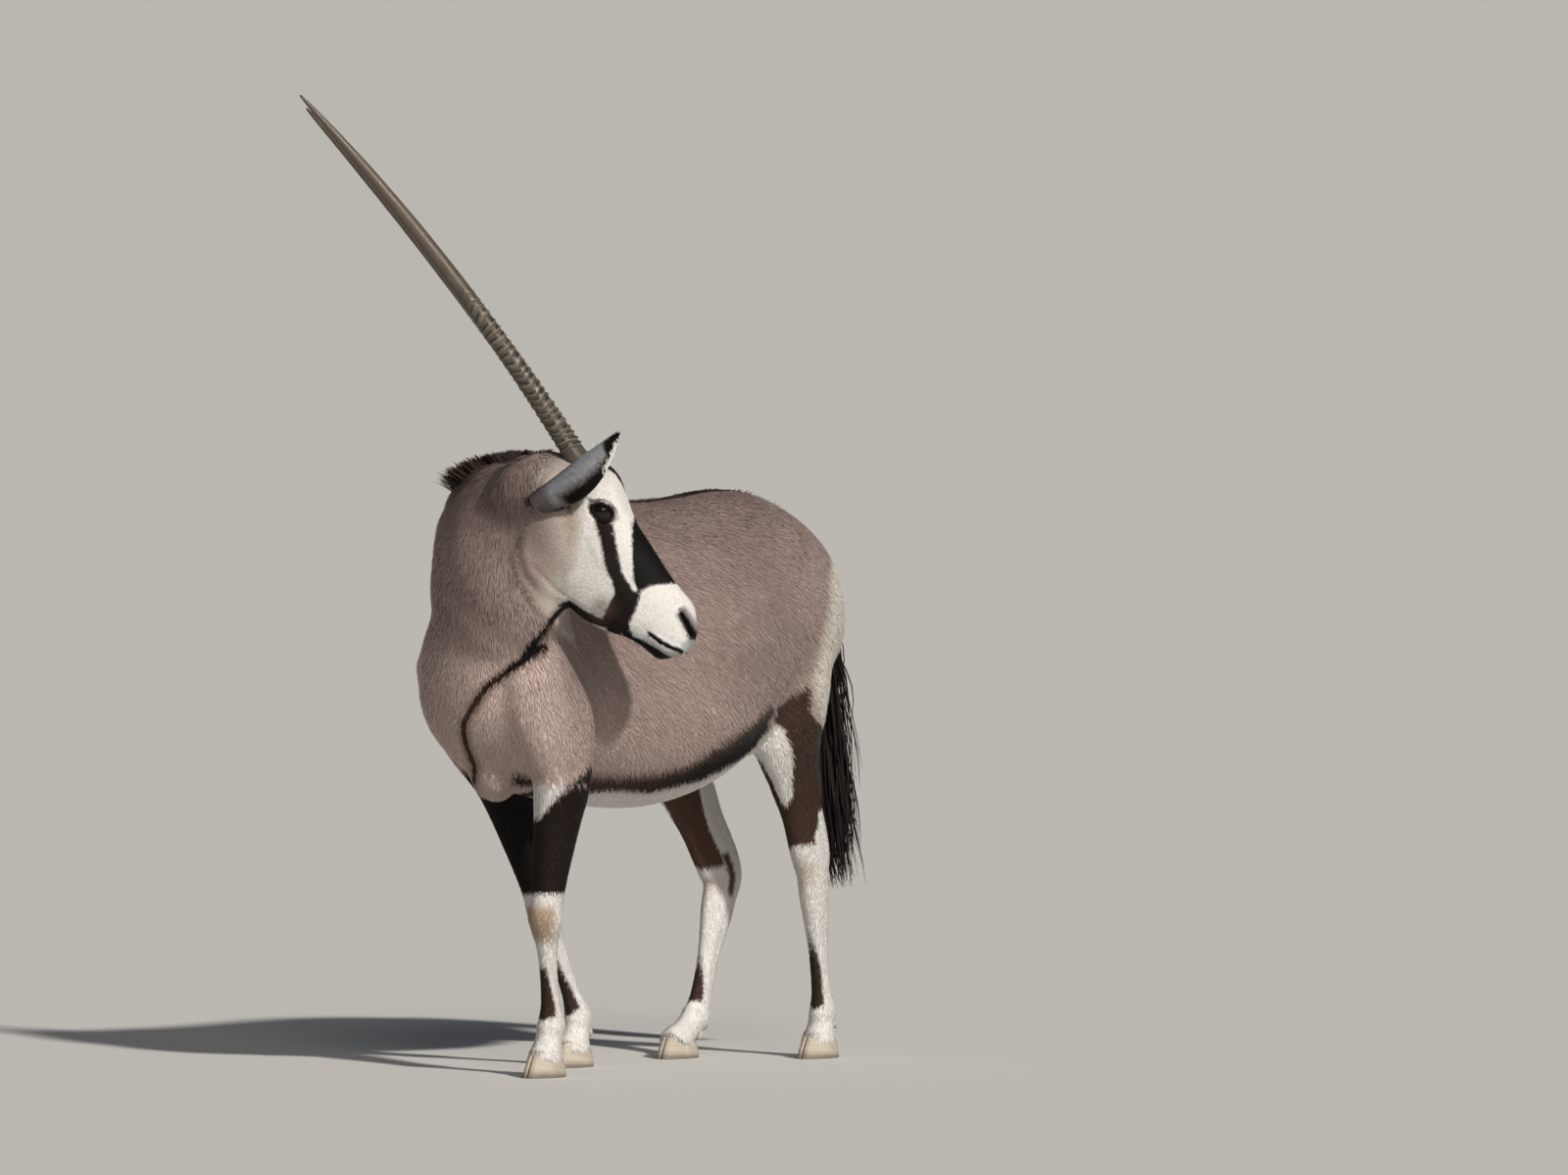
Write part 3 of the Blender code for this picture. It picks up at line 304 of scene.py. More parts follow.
def in_scene(name, data):
    """A new object that holds this data, linked to the scene."""
    made = bpy.data.objects.new(name, data)
    bpy.context.scene.collection.objects.link(made)
    return made


def mesh_object(name, points, faces):
    """An object from points and faces, with its faces turned outwards."""
    mesh = bpy.data.meshes.new(name)
    mesh.from_pydata([tuple(p) for p in points], [], faces)
    work = bmesh.new()
    work.from_mesh(mesh)
    bmesh.ops.recalc_face_normals(work, faces=work.faces)
    work.to_mesh(mesh)
    work.free()
    return in_scene(name, mesh)


def ring_faces(rings, count, first=0):
    """The faces of a closed tube through rings of count points, the first of them numbered first."""
    last = first + (rings - 1) * count
    faces = [tuple(range(first, first + count))[::-1], tuple(range(last, last + count))]
    for j in range(rings - 1):
        for i in range(count):
            a = first + j * count + i
            b = first + j * count + (i + 1) % count
            faces.append((a, b, b + count, a + count))
    return faces


def loft(name, rings):
    """A closed solid through rings of equal length."""
    return mesh_object(name, np.concatenate(rings), ring_faces(len(rings), len(rings[0])))


def tube(name, centres, radii, side, count):
    """A round tube along a path."""
    rings = []
    for i, centre in enumerate(centres):
        along = unit(centres[min(i + 1, len(centres) - 1)] - centres[max(i - 1, 0)])
        across = unit(np.cross(np.cross(along, side), along))
        size = radii[i]
        rings.append(section(centre, across, np.cross(along, across), size, size, size, count=count))
    return loft(name, rings)


def head_matrix():
    """Places the head's frame: x down the face to the nose, y to the head's left, z up from the brow."""
    yaw, pitch, roll = (math.radians(a) for a in (HEAD_YAW, HEAD_PITCH, HEAD_ROLL))
    forward = Vector((math.cos(pitch) * math.cos(yaw), math.cos(pitch) * math.sin(yaw), -math.sin(pitch)))
    left = Vector((-math.sin(yaw), math.cos(yaw), 0))
    up = forward.cross(left)
    left, up = math.cos(roll) * left - math.sin(roll) * up, math.sin(roll) * left + math.cos(roll) * up
    return Matrix.Translation(HEAD_AT) @ Matrix((forward, left, up)).transposed().to_4x4()


HEAD_MATRIX = head_matrix()
HEAD_AXES = np.array(HEAD_MATRIX.to_3x3())


def in_head(points):
    """Points of the body's frame, read in the head's frame."""
    return (points - np.array(HEAD_AT)) @ HEAD_AXES


def from_head(points):
    return points @ HEAD_AXES.T + np.array(HEAD_AT)


def on_head(points):
    """Points in the head's frame, and how far each is past the nape: well below zero away from the head."""
    h = in_head(points)
    x, y, z = h.T
    top, bottom, width = read(HEAD, x, 1, 3, 4)
    aside = np.abs(y) - width - 0.012
    off = np.maximum.reduce((aside, bottom - 0.008 - z, z - top - 0.015, -0.09 - x, x - 0.45))
    nape = (h - np.array(NAPE_AT)) @ np.array(NAPE_NORMAL)
    return h, nape - 3 * np.maximum(off, 0)


def beside_head(points):
    """How far points of the head's frame stand out from the head's own form, roughly, in metres."""
    x, y, z = points.T
    top, wide, bottom, width = read(HEAD, x, 1, 2, 3, 4)
    reach = np.where(z > wide, top - wide, wide - bottom)
    ring = np.hypot(y / width, (z - wide) / np.maximum(reach, 0.01))
    return np.maximum((ring - 1) * width, -0.045 - x)


def mirrored(point, side):
    return Vector((point.x, point.y * SIDES[side], point.z))


# The frame's origin is below the middle of the box, and these forms are made in the body's own frame.
eye_low, eye_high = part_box("eye_right")
SHIFT = (eye_low + eye_high) / 2 - HEAD_MATRIX @ mirrored(EYE_AT, "right")


def numbers_of(items, key, width=3, kind=np.float32):
    """One property of a mesh's vertices, edges or faces as an array, a row to each."""
    values = np.empty(len(items) * width, kind)
    items.foreach_get(key, values)
    return values.reshape(-1, width)


def points_of(mesh):
    return numbers_of(mesh.vertices, "co").astype(float)


def normals_of(mesh):
    return numbers_of(mesh.vertices, "normal").astype(float)


def set_points(mesh, points):
    mesh.vertices.foreach_set("co", points.astype(np.float32).ravel())
    mesh.update()


def edges_of(mesh):
    return numbers_of(mesh.edges, "vertices", 2, np.int32).T


def neighbours_mean(points, edges):
    a, b = edges
    count = np.maximum(np.bincount(np.concatenate((a, b)), minlength=len(points)), 1)
    mean = np.empty_like(points)
    for axis in range(points.shape[1]):
        there = points[:, axis]
        total = np.bincount(a, there[b], len(points)) + np.bincount(b, there[a], len(points))
        mean[:, axis] = total / count
    return mean


def relaxed(mesh, weight, rounds):
    """Moves each point towards its neighbours' mean and a little back, so that the volume stays."""
    points = points_of(mesh)
    edges = edges_of(mesh)
    for _ in range(rounds):
        for step in (0.6, -0.615):
            points += step * weight[:, None] * (neighbours_mean(points, edges) - points)
    set_points(mesh, points)


def filled(mesh, rounds):
    """Eases the creases where limbs meet: each point only moves outwards, towards its neighbours' mean."""
    edges = edges_of(mesh)
    for _ in range(rounds):
        points = points_of(mesh)
        outward = normals_of(mesh)
        rise = np.maximum(((neighbours_mean(points, edges) - points) * outward).sum(axis=1), 0)
        set_points(mesh, points + 0.7 * rise[:, None] * outward)


def applied(obj):
    """Replaces an object's mesh by what its modifiers make of it."""
    bpy.context.view_layer.update()
    mesh = bpy.data.meshes.new_from_object(obj.evaluated_get(bpy.context.evaluated_depsgraph_get()))
    obj.modifiers.clear()
    obj.data = mesh
    return obj


def boolean(obj, other, operation):
    modifier = obj.modifiers.new("Boolean", "BOOLEAN")
    modifier.operation = operation
    modifier.solver = "MANIFOLD"
    modifier.object = other
    applied(obj)
    bpy.data.objects.remove(other)
    return obj


# ---------------------------------------------------------------- the forms of the body
def lengthwise(name, table, count, around):
    """A loft along x from rows of x, top, widest, bottom, half width and the two powers."""
    rings = []
    for x, top, wide, bottom, width, upper, lower in smooth_rows(table, count):
        sizes = (width, top - wide, wide - bottom, upper, lower, around)
        rings.append(section((x, 0, wide), (0, 1, 0), (0, 0, 1), *sizes))
    return loft(name, rings)


def neck_form():
    rows = smooth_rows(NECK, 60)
    rings = []
    for i, row in enumerate(rows):
        along = unit(rows[min(i + 1, len(rows) - 1)][:3] - rows[max(i - 1, 0)][:3])
        up = unit(row[3:6] - along * (row[3:6] @ along))
        rings.append(section(row[:3], np.cross(up, along), up, row[6], row[7], row[8], 1.8, 2.2))
    return loft("neck_form", rings)


def leg_rows(name):
    """Each leg's middle line, with its way along, its way forward, its places and its half sizes."""
    flesh, joints = LEGS[name]
    joints = np.array(joints)
    joints = np.vstack((joints, 1.6 * joints[-1] - 0.6 * joints[-2]))
    rows = smooth_rows(flesh, 70)
    whole = np.clip(rows[:, 0].astype(int), 0, len(joints) - 2)
    part = (rows[:, 0] - whole)[:, None]
    centres = joints[whole] * (1 - part) + joints[whole + 1] * part
    for _ in range(3):
        centres[1:-1] = (centres[:-2] + 2 * centres[1:-1] + centres[2:]) / 4
    ahead = np.vstack((centres[1:], centres[-1:]))
    behind = np.vstack((centres[:1], centres[:-1]))
    along = unit(ahead - behind)
    fore = unit(np.array((1.0, 0, 0)) - along * along[:, :1])
    return centres, along, fore, rows


def leg_form(name):
    centres, along, fore, rows = leg_rows(name)
    rings = []
    for centre, way, ahead, row in zip(centres, along, fore, rows):
        rings.append(section(centre, np.cross(way, ahead), ahead, row[2], row[1], row[1], count=40))
    return loft(f"{name}_form", rings)


def fused(pieces, voxel):
    """One mesh from overlapping solids, evened by a voxel remesh."""
    joined = bmesh.new()
    for piece in pieces:
        joined.from_mesh(piece.data)
        bpy.data.objects.remove(piece)
    mesh = bpy.data.meshes.new("hide")
    joined.to_mesh(mesh)
    joined.free()
    flesh = in_scene("hide", mesh)
    remesh = flesh.modifiers.new("Remesh", "REMESH")
    remesh.mode = "VOXEL"
    remesh.voxel_size = voxel
    return applied(flesh)


LEG_LINES = {name: leg_rows(name) for name in LEGS}


def leg_places(points):
    """For points low on the body: which leg, the place along it, and how far forward and outward they lie.

    Forward and outward are told in half depths and half widths of the leg there.
    """
    best = np.full(len(points), 1e9)
    leg = np.zeros(len(points), int)
    place = np.zeros(len(points))
    fore = np.zeros(len(points))
    out = np.zeros(len(points))
    for index, name in enumerate(LEGS):
        centres, along, ahead, rows = LEG_LINES[name]
        near = nearest(points, centres)
        offset = points - centres[near]
        step = (offset * along[near]).sum(axis=1)
        flat = offset - step[:, None] * along[near]
        distance = np.linalg.norm(flat, axis=1) / rows[near, 1] + np.abs(step) / 0.05
        spacing = np.linalg.norm(np.gradient(centres, axis=0), axis=1)
        rate = np.gradient(rows[:, 0]) / np.maximum(spacing, 1e-6)
        closer = distance < best
        side = 1 if name.endswith("left") else -1
        best = np.where(closer, distance, best)
        leg = np.where(closer, index, leg)
        place = np.where(closer, rows[near, 0] + step * rate[near], place)
        fore = np.where(closer, (flat * ahead[near]).sum(axis=1) / rows[near, 1], fore)
        out = np.where(closer, side * flat[:, 1] / rows[near, 2], out)
    return leg, place, fore, out, best


def nearest(points, centres):
    """The index of the nearest centre, found in slices to save memory."""
    found = np.empty(len(points), int)
    square = (centres ** 2).sum(axis=1)
    for start in range(0, len(points), 20000):
        part = points[start:start + 20000]
        found[start:start + 20000] = np.argmin(square - 2 * part @ centres.T, axis=1)
    return found


# ---------------------------------------------------------------- the head's fine forms
EYE_RADIUS = 0.023
EYE_OUT, EYE_WIDE = unit((0.10, 0.97, 0.20)), np.array((0.80, 0.0, 0.60))
LID_LENGTH, LID_HEIGHT, LID_THICKNESS = 0.0185, 0.0138, 0.0030
NOSTRIL_LINE = ((0.354, 0.037), (0.368, 0.038), (0.384, 0.039), (0.401, 0.038))
MOUTH_LINE = (
    (0.351, -0.040), (0.368, -0.032), (0.387, -0.022), (0.404, -0.009), (0.417, 0.004), (0.430, 0.008),
)
JAW_LINE = ((0.150, -0.182), (0.200, -0.166), (0.240, -0.146), (0.290, -0.112), (0.330, -0.078))
# how high each form of the face stands, its middle, its reach, and if it shows only on the head's sides
FACE_FORMS = (
    (0.0030, (0.105, 0.070, -0.125), (0.050, 0.05, 0.040), True),
    (0.0035, (0.085, 0.060, 0.020), (0.030, 0.04, 0.014), False),
    (-0.0025, (0.050, 0.070, -0.045), (0.022, 0.04, 0.020), True),
    (-0.0022, (0.190, 0.060, -0.105), (0.016, 0.04, 0.050), True),
    (0.0020, (0.185, 0.060, -0.055), (0.050, 0.04, 0.010), True),
    (-0.0022, (0.235, 0.050, -0.025), (0.050, 0.04, 0.014), True),
)
# the same for the body
BODY_FORMS = (
    (0.0060, (0.470, 0.13, 0.800), (0.035, 0.06, 0.045), False),
    (-0.0050, (0.180, 0.19, 0.820), (0.030, 0.09, 0.130), True),
    (-0.0060, (-0.255, 0.17, 0.960), (0.045, 0.09, 0.060), True),
    (0.0050, (-0.330, 0.15, 1.050), (0.035, 0.06, 0.030), False),
    (0.0060, (-0.300, 0.18, 0.700), (0.045, 0.06, 0.060), True),
    (-0.0035, (-0.475, 0.12, 0.780), (0.020, 0.07, 0.110), True),
)
ELBOW_LEFT, ELBOW_RIGHT, RIB_STEP = 0.385, 0.330, 0.052
# parts of the head's frame, as low and high corners: what is sculpted, and what has finer faces
SCULPTED_BOX = ((-0.08, -0.10, -0.24), (math.inf, 0.10, 0.09))
FACE_BOX = ((-0.01, -0.085, -0.215), (math.inf, 0.085, 0.075))
MUZZLE_BOX = ((0.338, -math.inf, -0.065), (math.inf, math.inf, math.inf))


def eye_axes():
    wide = unit(EYE_WIDE - EYE_OUT * (EYE_WIDE @ EYE_OUT))
    return wide, np.cross(EYE_OUT, wide), EYE_OUT


def eye_measures(m):
    """Along the lids, down across them, outwards, and the place in their opening: below 1 inside it."""
    wide, down, out = eye_axes()
    offset = m - np.array(EYE_AT)
    a, b, o = offset @ wide, offset @ down, offset @ out
    opening = ((np.abs(a) / LID_LENGTH) ** 1.6 + (np.abs(b) / LID_HEIGHT) ** 2) ** (1 / 1.8)
    return a, b, o, opening


def along_line(m, line):
    """The distance in the head's x-z plane to a bent line, and the place along it from 0 to 1."""
    return to_line(m[:, [0, 2]], line)


def hump(m, at, reach):
    """A soft round weight about a point, or an oval one with a reach for each axis."""
    return np.exp(-((((m - np.array(at)) / np.array(reach)) ** 2).sum(axis=1)))


def with_forms(rise, forms, points, sideways):
    """A rise of the skin with that of each of these forms on top."""
    for height, at, reach, only_sides in forms:
        rise = rise + height * hump(points, at, reach) * (sideways if only_sides else 1)
    return rise


def face_rise(m, outer):
    """How far the skin of the face stands out or in: its muscles, jaw, lips and nostrils."""
    rise = with_forms(0, FACE_FORMS, m, outer)
    jaw, _ = along_line(m, JAW_LINE)
    rise -= 0.0016 * np.exp(-(jaw / 0.006) ** 2) * outer
    lip, place = along_line(m, MOUTH_LINE)
    groove = np.exp(-(lip / 0.0026) ** 2) * smoothstep(0.0, 0.12, place)
    lips = np.exp(-((lip - 0.007) / 0.0042) ** 2) * smoothstep(0.05, 0.4, place)
    rise += 0.0016 * lips - 0.0060 * groove
    nostril, place = along_line(m, NOSTRIL_LINE)
    half = 0.0042 + 0.0010 * place
    frontal = smoothstep(0.006, 0.012, m[:, 1]) * smoothstep(0.0, 0.012, m[:, 2])
    pit = np.exp(-(nostril / half) ** 4) * (0.007 + 0.006 * place) * frontal
    rim = np.exp(-((nostril - half * 1.9) / 0.0035) ** 2) * 0.0018 * frontal
    return rise + (rim - pit)


def lid_rise(m):
    """How far the skin round the eye moves outwards, to close over the eyeball as lids."""
    a, b, o, opening = eye_measures(m)
    ball = np.sqrt(np.maximum(EYE_RADIUS ** 2 - a ** 2 - b ** 2, 0))
    lid = ball + LID_THICKNESS - 0.0018 * np.exp(-np.maximum(opening - 1, 0) / 0.07)
    keep = smoothstep(1.20, 2.0, opening)
    fold = 0.0013 * np.exp(-((opening - 1.62) / 0.10) ** 2) * smoothstep(0.004, -0.004, b)
    bag = 0.0008 * np.exp(-((opening - 1.55) / 0.09) ** 2) * smoothstep(-0.004, 0.004, b)
    over = lid * (1 - keep) + o * keep - fold - bag
    under = ball - 0.0035 - 0.004 * smoothstep(1.0, 0.8, opening)
    eye_here = (o > 0) & (opening < 2.0)
    return np.where(eye_here, np.where(opening < 1, under, over) - o, 0)


def sculpted_head(mesh):
    """Lids round the eyes, nostrils, the lips and their line, the cheek, the brow and the jaw's edge."""
    points = points_of(mesh)
    h = in_head(points)
    near = np.flatnonzero(within(h, SCULPTED_BOX))
    side = np.sign(h[near, 1:2] + 1e-9)
    turn = np.hstack((np.ones_like(side), side, np.ones_like(side)))
    m = h[near] * turn
    n = (normals_of(mesh)[near] @ HEAD_AXES) * turn
    outer = smoothstep(0.2, 0.6, np.abs(n[:, 1]))
    m = m + n * face_rise(m, outer)[:, None]
    m = m + lid_rise(m)[:, None] * EYE_OUT
    points[near] = from_head(m * turn)
    set_points(mesh, points)


def sculpted_body(mesh):
    """Muscles, bones and tendons that show under the short coat."""
    points = points_of(mesh)
    normals = normals_of(mesh)
    p = np.column_stack((points[:, 0], np.abs(points[:, 1]), points[:, 2]))
    side = smoothstep(0.3, 0.7, np.abs(normals[:, 1]))
    from_elbow = p.copy()
    from_elbow[:, 0] -= np.where(points[:, 1] > 0, ELBOW_LEFT, ELBOW_RIGHT)
    rise = 0.0065 * hump(from_elbow, (-0.030, 0.18, 0.700), (0.045, 0.09, 0.070)) * side
    rise = with_forms(rise, BODY_FORMS, p, side)
    ribs = np.sin(2 * math.pi * (p[:, 0] + 0.25 * p[:, 2]) / RIB_STEP)
    rise += 0.0006 * ribs * hump(p, (0.0, 0.22, 0.86), (0.15, 0.10, 0.13)) * side
    low = np.flatnonzero(points[:, 2] < 0.60)
    leg, place, fore, out, _ = leg_places(points[low])
    hind = leg >= 2
    joint = place - np.where(hind, 1, 2)
    lateral = smoothstep(0.35, 0.85, np.abs(out))
    gaskin = np.exp(-((joint - 0.72) / 0.20) ** 2) * np.exp(-((fore + 0.42) / 0.22) ** 2) * hind
    cannon = np.exp(-((joint - 1.52) / 0.30) ** 4) * np.exp(-((fore + 0.10) / 0.20) ** 2)
    knee = np.exp(-((joint - 1.0) / 0.09) ** 2) * np.exp(-((fore - 0.6) / 0.4) ** 2) * ~hind
    rise[low] -= lateral * (0.0050 * gaskin + 0.0016 * cannon) - 0.0016 * knee
    set_points(mesh, points + normals * rise[:, None])


def refined(mesh, chosen):
    """Splits the chosen faces in four."""
    work = bmesh.new()
    work.from_mesh(mesh)
    work.faces.ensure_lookup_table()
    edges = {edge for index in np.flatnonzero(chosen) for edge in work.faces[index].edges}
    bmesh.ops.subdivide_edges(work, edges=list(edges), cuts=1, use_grid_fill=True)
    bmesh.ops.triangulate(work, faces=[f for f in work.faces if len(f.verts) > 4])
    work.to_mesh(mesh)
    work.free()


def face_middles(mesh):
    return numbers_of(mesh.polygons, "center").astype(float)


def within(points, box):
    """Which points lie in a box, told by its low and its high corner."""
    low, high = box
    return ((points > low) & (points < high)).all(axis=1)


def ear_axes(side):
    """An ear's root and its ways along, towards its open side and across, in the head's frame."""
    root, opens = mirrored(EAR_ROOT, side), mirrored(EAR_OPENS, side)
    along = (EAR_TIPS[side] - root).normalized()
    opens = (opens - along * opens.dot(along)).normalized()
    return root, along, opens, along.cross(opens)


def ear_curl(s):
    """The radius of an ear's curl at places along it, and half of its turn."""
    half, angle = read(EAR_SHAPE, s, 1, 2)
    reach = np.radians(angle)
    return half / np.sin(np.minimum(reach, math.pi / 2)), reach


def ear_form(side, thickness=0.0034, rows=34, arc=21):
    """A leaf curled round its length, open towards the front, with its foot sunk in the head."""
    root, _, opens, across = ear_axes(side)
    rings = []
    for s, half, angle in smooth_rows(EAR_SHAPE, rows).tolist():
        s = min(max(s, 0), 1)
        half = max(half, 0.002)
        reach = math.radians(angle)
        radius = half / math.sin(min(reach, math.pi / 2))
        inner = max(radius - thickness * (1 - 0.4 * s), radius * 0.35)
        bow = (EAR_BOW_WAY * EAR_BOW - opens * EAR_BACK) * math.sin(math.pi * s)
        middle = root.lerp(EAR_TIPS[side], s) + bow + opens * radius
        turns = np.linspace(-reach, reach, arc).tolist()
        ring = [middle + radius * (math.sin(a) * across - math.cos(a) * opens) for a in turns]
        ring += [middle + inner * (math.sin(a) * across - math.cos(a) * opens) for a in turns[::-1]]
        rings.append(np.array([tuple(HEAD_MATRIX @ p) for p in ring]))
    return loft(f"ear_{side}_form", rings)


def up_the_neck(points):
    """How far points lie up the neck from its root, below zero on the trunk."""
    return (points - NECK_ROOT) @ unit(NECK_WAY)


def by_part(sizes, neck, head, leg):
    """A size at each point, blended from those of the trunk, the neck, the head and the legs."""
    value = sizes["trunk"] * (1 - neck) + sizes["neck"] * neck
    value = value * (1 - head) + sizes["head"] * head
    return value * (1 - leg) + sizes["leg"] * leg


def coat_depth(points):
    """How far the skin lies inside the coat's outline."""
    _, nape = on_head(points)
    neck = smoothstep(-0.05, 0.05, up_the_neck(points))
    return by_part(COAT_DEPTH, neck, smoothstep(-0.03, 0.03, nape), smoothstep(0.62, 0.52, points[:, 2]))


def brisket():
    """The low round end of the breast between the forelegs."""
    work = bmesh.new()
    bmesh.ops.create_uvsphere(work, u_segments=48, v_segments=32, radius=1)
    bmesh.ops.scale(work, vec=BRISKET_SIZE, verts=work.verts)
    bmesh.ops.translate(work, vec=BRISKET_AT, verts=work.verts)
    mesh = bpy.data.meshes.new("brisket")
    work.to_mesh(mesh)
    work.free()
    return in_scene("brisket", mesh)


def mouth_height(x):
    """The height of the line between the lips at a place down the face."""
    ahead = np.maximum(x - MOUTH_CORNER, 0) / (MOUTH_LIP - MOUTH_CORNER)
    return MOUTH_LOW + MOUTH_RISE * ahead**0.8


def chin_set_back(head):
    """Draws the chin back under the upper lip, in the head's own frame."""
    points = points_of(head.data)
    x, z = points[:, 0], points[:, 2]
    below = smoothstep(0.002, -0.016, z - mouth_height(x))
    points[:, 0] -= CHIN_BACK * below * smoothstep(0.35, 0.42, x)
    set_points(head.data, points)


def body_in_one():
    """The trunk, the neck, the head, the brisket and the legs as one evened mesh, under the coat's depth."""
    head = lengthwise("head_form", HEAD, 120, 80)
    chin_set_back(head)
    head.data.transform(HEAD_MATRIX)
    pieces = [lengthwise("trunk_form", TRUNK, 110, 96), neck_form(), head, brisket()]
    pieces += [leg_form(name) for name in LEGS]
    skin = fused(pieces, VOXEL)
    mesh = skin.data
    filled(mesh, CREASE_ROUNDS)
    points = points_of(mesh)
    _, nape = on_head(points)
    weight = np.clip((points[:, 2] - 0.42) / 0.12, 0, 1) * np.clip((0.005 - nape) / 0.03, 0, 1)
    relaxed(mesh, weight, RELAX_ROUNDS)
    relaxed(mesh, 1 - weight, 12)
    points = points_of(mesh)
    set_points(mesh, points - normals_of(mesh) * coat_depth(points)[:, None])
    return skin


def refined_face(mesh):
    """Finer faces over the head, and finer again round the eyes and over the muzzle."""
    refined(mesh, within(in_head(face_middles(mesh)), FACE_BOX))
    m = in_head(face_middles(mesh))
    m[:, 1] = np.abs(m[:, 1])
    eyes = (np.linalg.norm(m - np.array(EYE_AT), axis=1) < 0.050) & (m[:, 1] > 0.03)
    refined(mesh, eyes | within(m, MUZZLE_BOX))
    relaxed(mesh, (np.abs(in_head(points_of(mesh))[:, 1]) < 0.085) * 1.0, 3)


def hide():
    """The whole skin in one piece, from the muzzle to the coronets."""
    skin = body_in_one()
    sculpted_body(skin.data)
    refined_face(skin.data)
    sculpted_head(skin.data)
    for name in LEGS:
        boolean(skin, sole_box(name), "DIFFERENCE")
    for side in SIDES:
        boolean(skin, ear_form(side), "UNION")
    fewer = skin.modifiers.new("Decimate", "DECIMATE")
    fewer.ratio = SKIN_SHARE
    return applied(skin)


def sole_box(name):
    """Everything below a foot's coronet, from a little under the hoof's upper edge."""
    coronet = Vector(LEGS[name][1][-1])
    up = Vector((-CORONET_SLOPE, 0, 1)).normalized()
    fore = Vector((1, 0, CORONET_SLOPE)).normalized()
    at = Vector((coronet.x, coronet.y, CORONET_HEIGHT - 0.004))
    corners = [(x, y, z) for x in (-0.08, 0.08) for y in (-0.06, 0.06) for z in (-0.08, 0)]
    points = [at + fore * x + Vector((0, 1, 0)) * y + up * z for x, y, z in corners]
    faces = ((0, 1, 3, 2), (4, 6, 7, 5), (0, 4, 5, 1), (2, 3, 7, 6), (0, 2, 6, 4), (1, 5, 7, 3))
    return mesh_object("sole", points, faces)


# ---------------------------------------------------------------- the markings
HIND_PATCH = (
    (-0.185, 0.727), (-0.245, 0.733), (-0.290, 0.750), (-0.324, 0.761), (-0.316, 0.710), (-0.345, 0.690),
    (-0.450, 0.660), (-0.450, 0.520), (-0.400, 0.505), (-0.383, 0.470), (-0.376, 0.453), (-0.380, 0.440),
    (-0.300, 0.432), (-0.290, 0.480), (-0.300, 0.499), (-0.308, 0.541), (-0.283, 0.618), (-0.253, 0.676),
    (-0.194, 0.707),
)
HIND_INNER_PATCH = (
    (-0.230, 0.620), (-0.335, 0.610), (-0.356, 0.500), (-0.380, 0.445), (-0.388, 0.430), (-0.270, 0.430),
)
THIGH_WHITE = (
    (-0.150, 0.690), (-0.194, 0.707), (-0.253, 0.676), (-0.283, 0.618), (-0.308, 0.541), (-0.300, 0.499),
    (-0.290, 0.480), (-0.150, 0.480),
)
THROAT_LINE = (
    (0.430, 0.225, 0.975), (0.462, 0.210, 0.938), (0.489, 0.178, 0.900), (0.521, 0.142, 0.827),
    (0.552, 0.082, 0.778), (0.566, 0.027, 0.700), (0.555, 0.012, 0.640), (0.510, -0.020, 0.585),
)
# the flank's dark band: x, and the height of its edge there
BAND_TOP = ((-0.25, -0.19, -0.149, -0.077, 0.0, 0.06, 0.12, 0.20, 0.25, 0.40),
            (0.750, 0.727, 0.702, 0.669, 0.637, 0.603, 0.587, 0.583, 0.585, 0.600))
BAND_FOOT = ((-0.215, -0.155, -0.08, -0.02, 0.05, 0.10, 0.182, 0.33, 0.42),
             (0.650, 0.624, 0.604, 0.581, 0.569, 0.556, 0.564, 0.551, 0.470))
# the legs' numbers, and for each leg where the streak on its cannon starts and how brown its dark is
FRONT_LEFT, HIND_LEFT, HIND_RIGHT = 0, 2, 3
STREAK_FROM, LEG_BROWN = (0.22, 0.30, 0.50, 0.42), (0.12, 0.0, 0.62, 1.0)
# the height below which points may belong to a leg, and the hollow between the forelegs, dark partly as the
# forelegs' black running up and partly as painted shade
LEGS_TOP = 0.80
BREAST_PIT_SHADE, BREAST_PIT_SHADE_SIZE = (0.430, 0.060, 0.568), (0.060, 0.015, 0.034)
EAR_HALF_THICKNESS = 0.0017
MARKS = ("dark", "white", "brown", "cream", "tan", "tone", "grey", "soft")


def to_line(points, line):
    """The distance to a bent line, and the place along it from 0 to 1."""
    line = np.array(line, float)
    best = np.full(len(points), 1e9)
    place = np.zeros(len(points))
    for k in range(len(line) - 1):
        step = line[k + 1] - line[k]
        t = np.clip(((points - line[k]) @ step) / (step @ step), 0, 1)
        distance = np.linalg.norm(points - line[k] - t[:, None] * step, axis=1)
        closer = distance < best
        best = np.where(closer, distance, best)
        place = np.where(closer, (k + t) / (len(line) - 1), place)
    return best, place


def inside_by(points, outline):
    """The distance to a closed outline, above zero inside it."""
    outline = np.array(outline, float)
    best = np.full(len(points), 1e9)
    inside = np.zeros(len(points), bool)
    for a, b in zip(outline, np.roll(outline, -1, axis=0)):
        step = b - a
        t = np.clip(((points - a) @ step) / (step @ step), 0, 1)
        best = np.minimum(best, np.linalg.norm(points - a - t[:, None] * step, axis=1))
        crosses = (a[1] > points[:, 1]) != (b[1] > points[:, 1])
        at = a[0] + (points[:, 1] - a[1]) * step[0] / (step[1] if step[1] else 1e-12)
        inside ^= crosses & (points[:, 0] < at)
    return np.where(inside, best, -best)


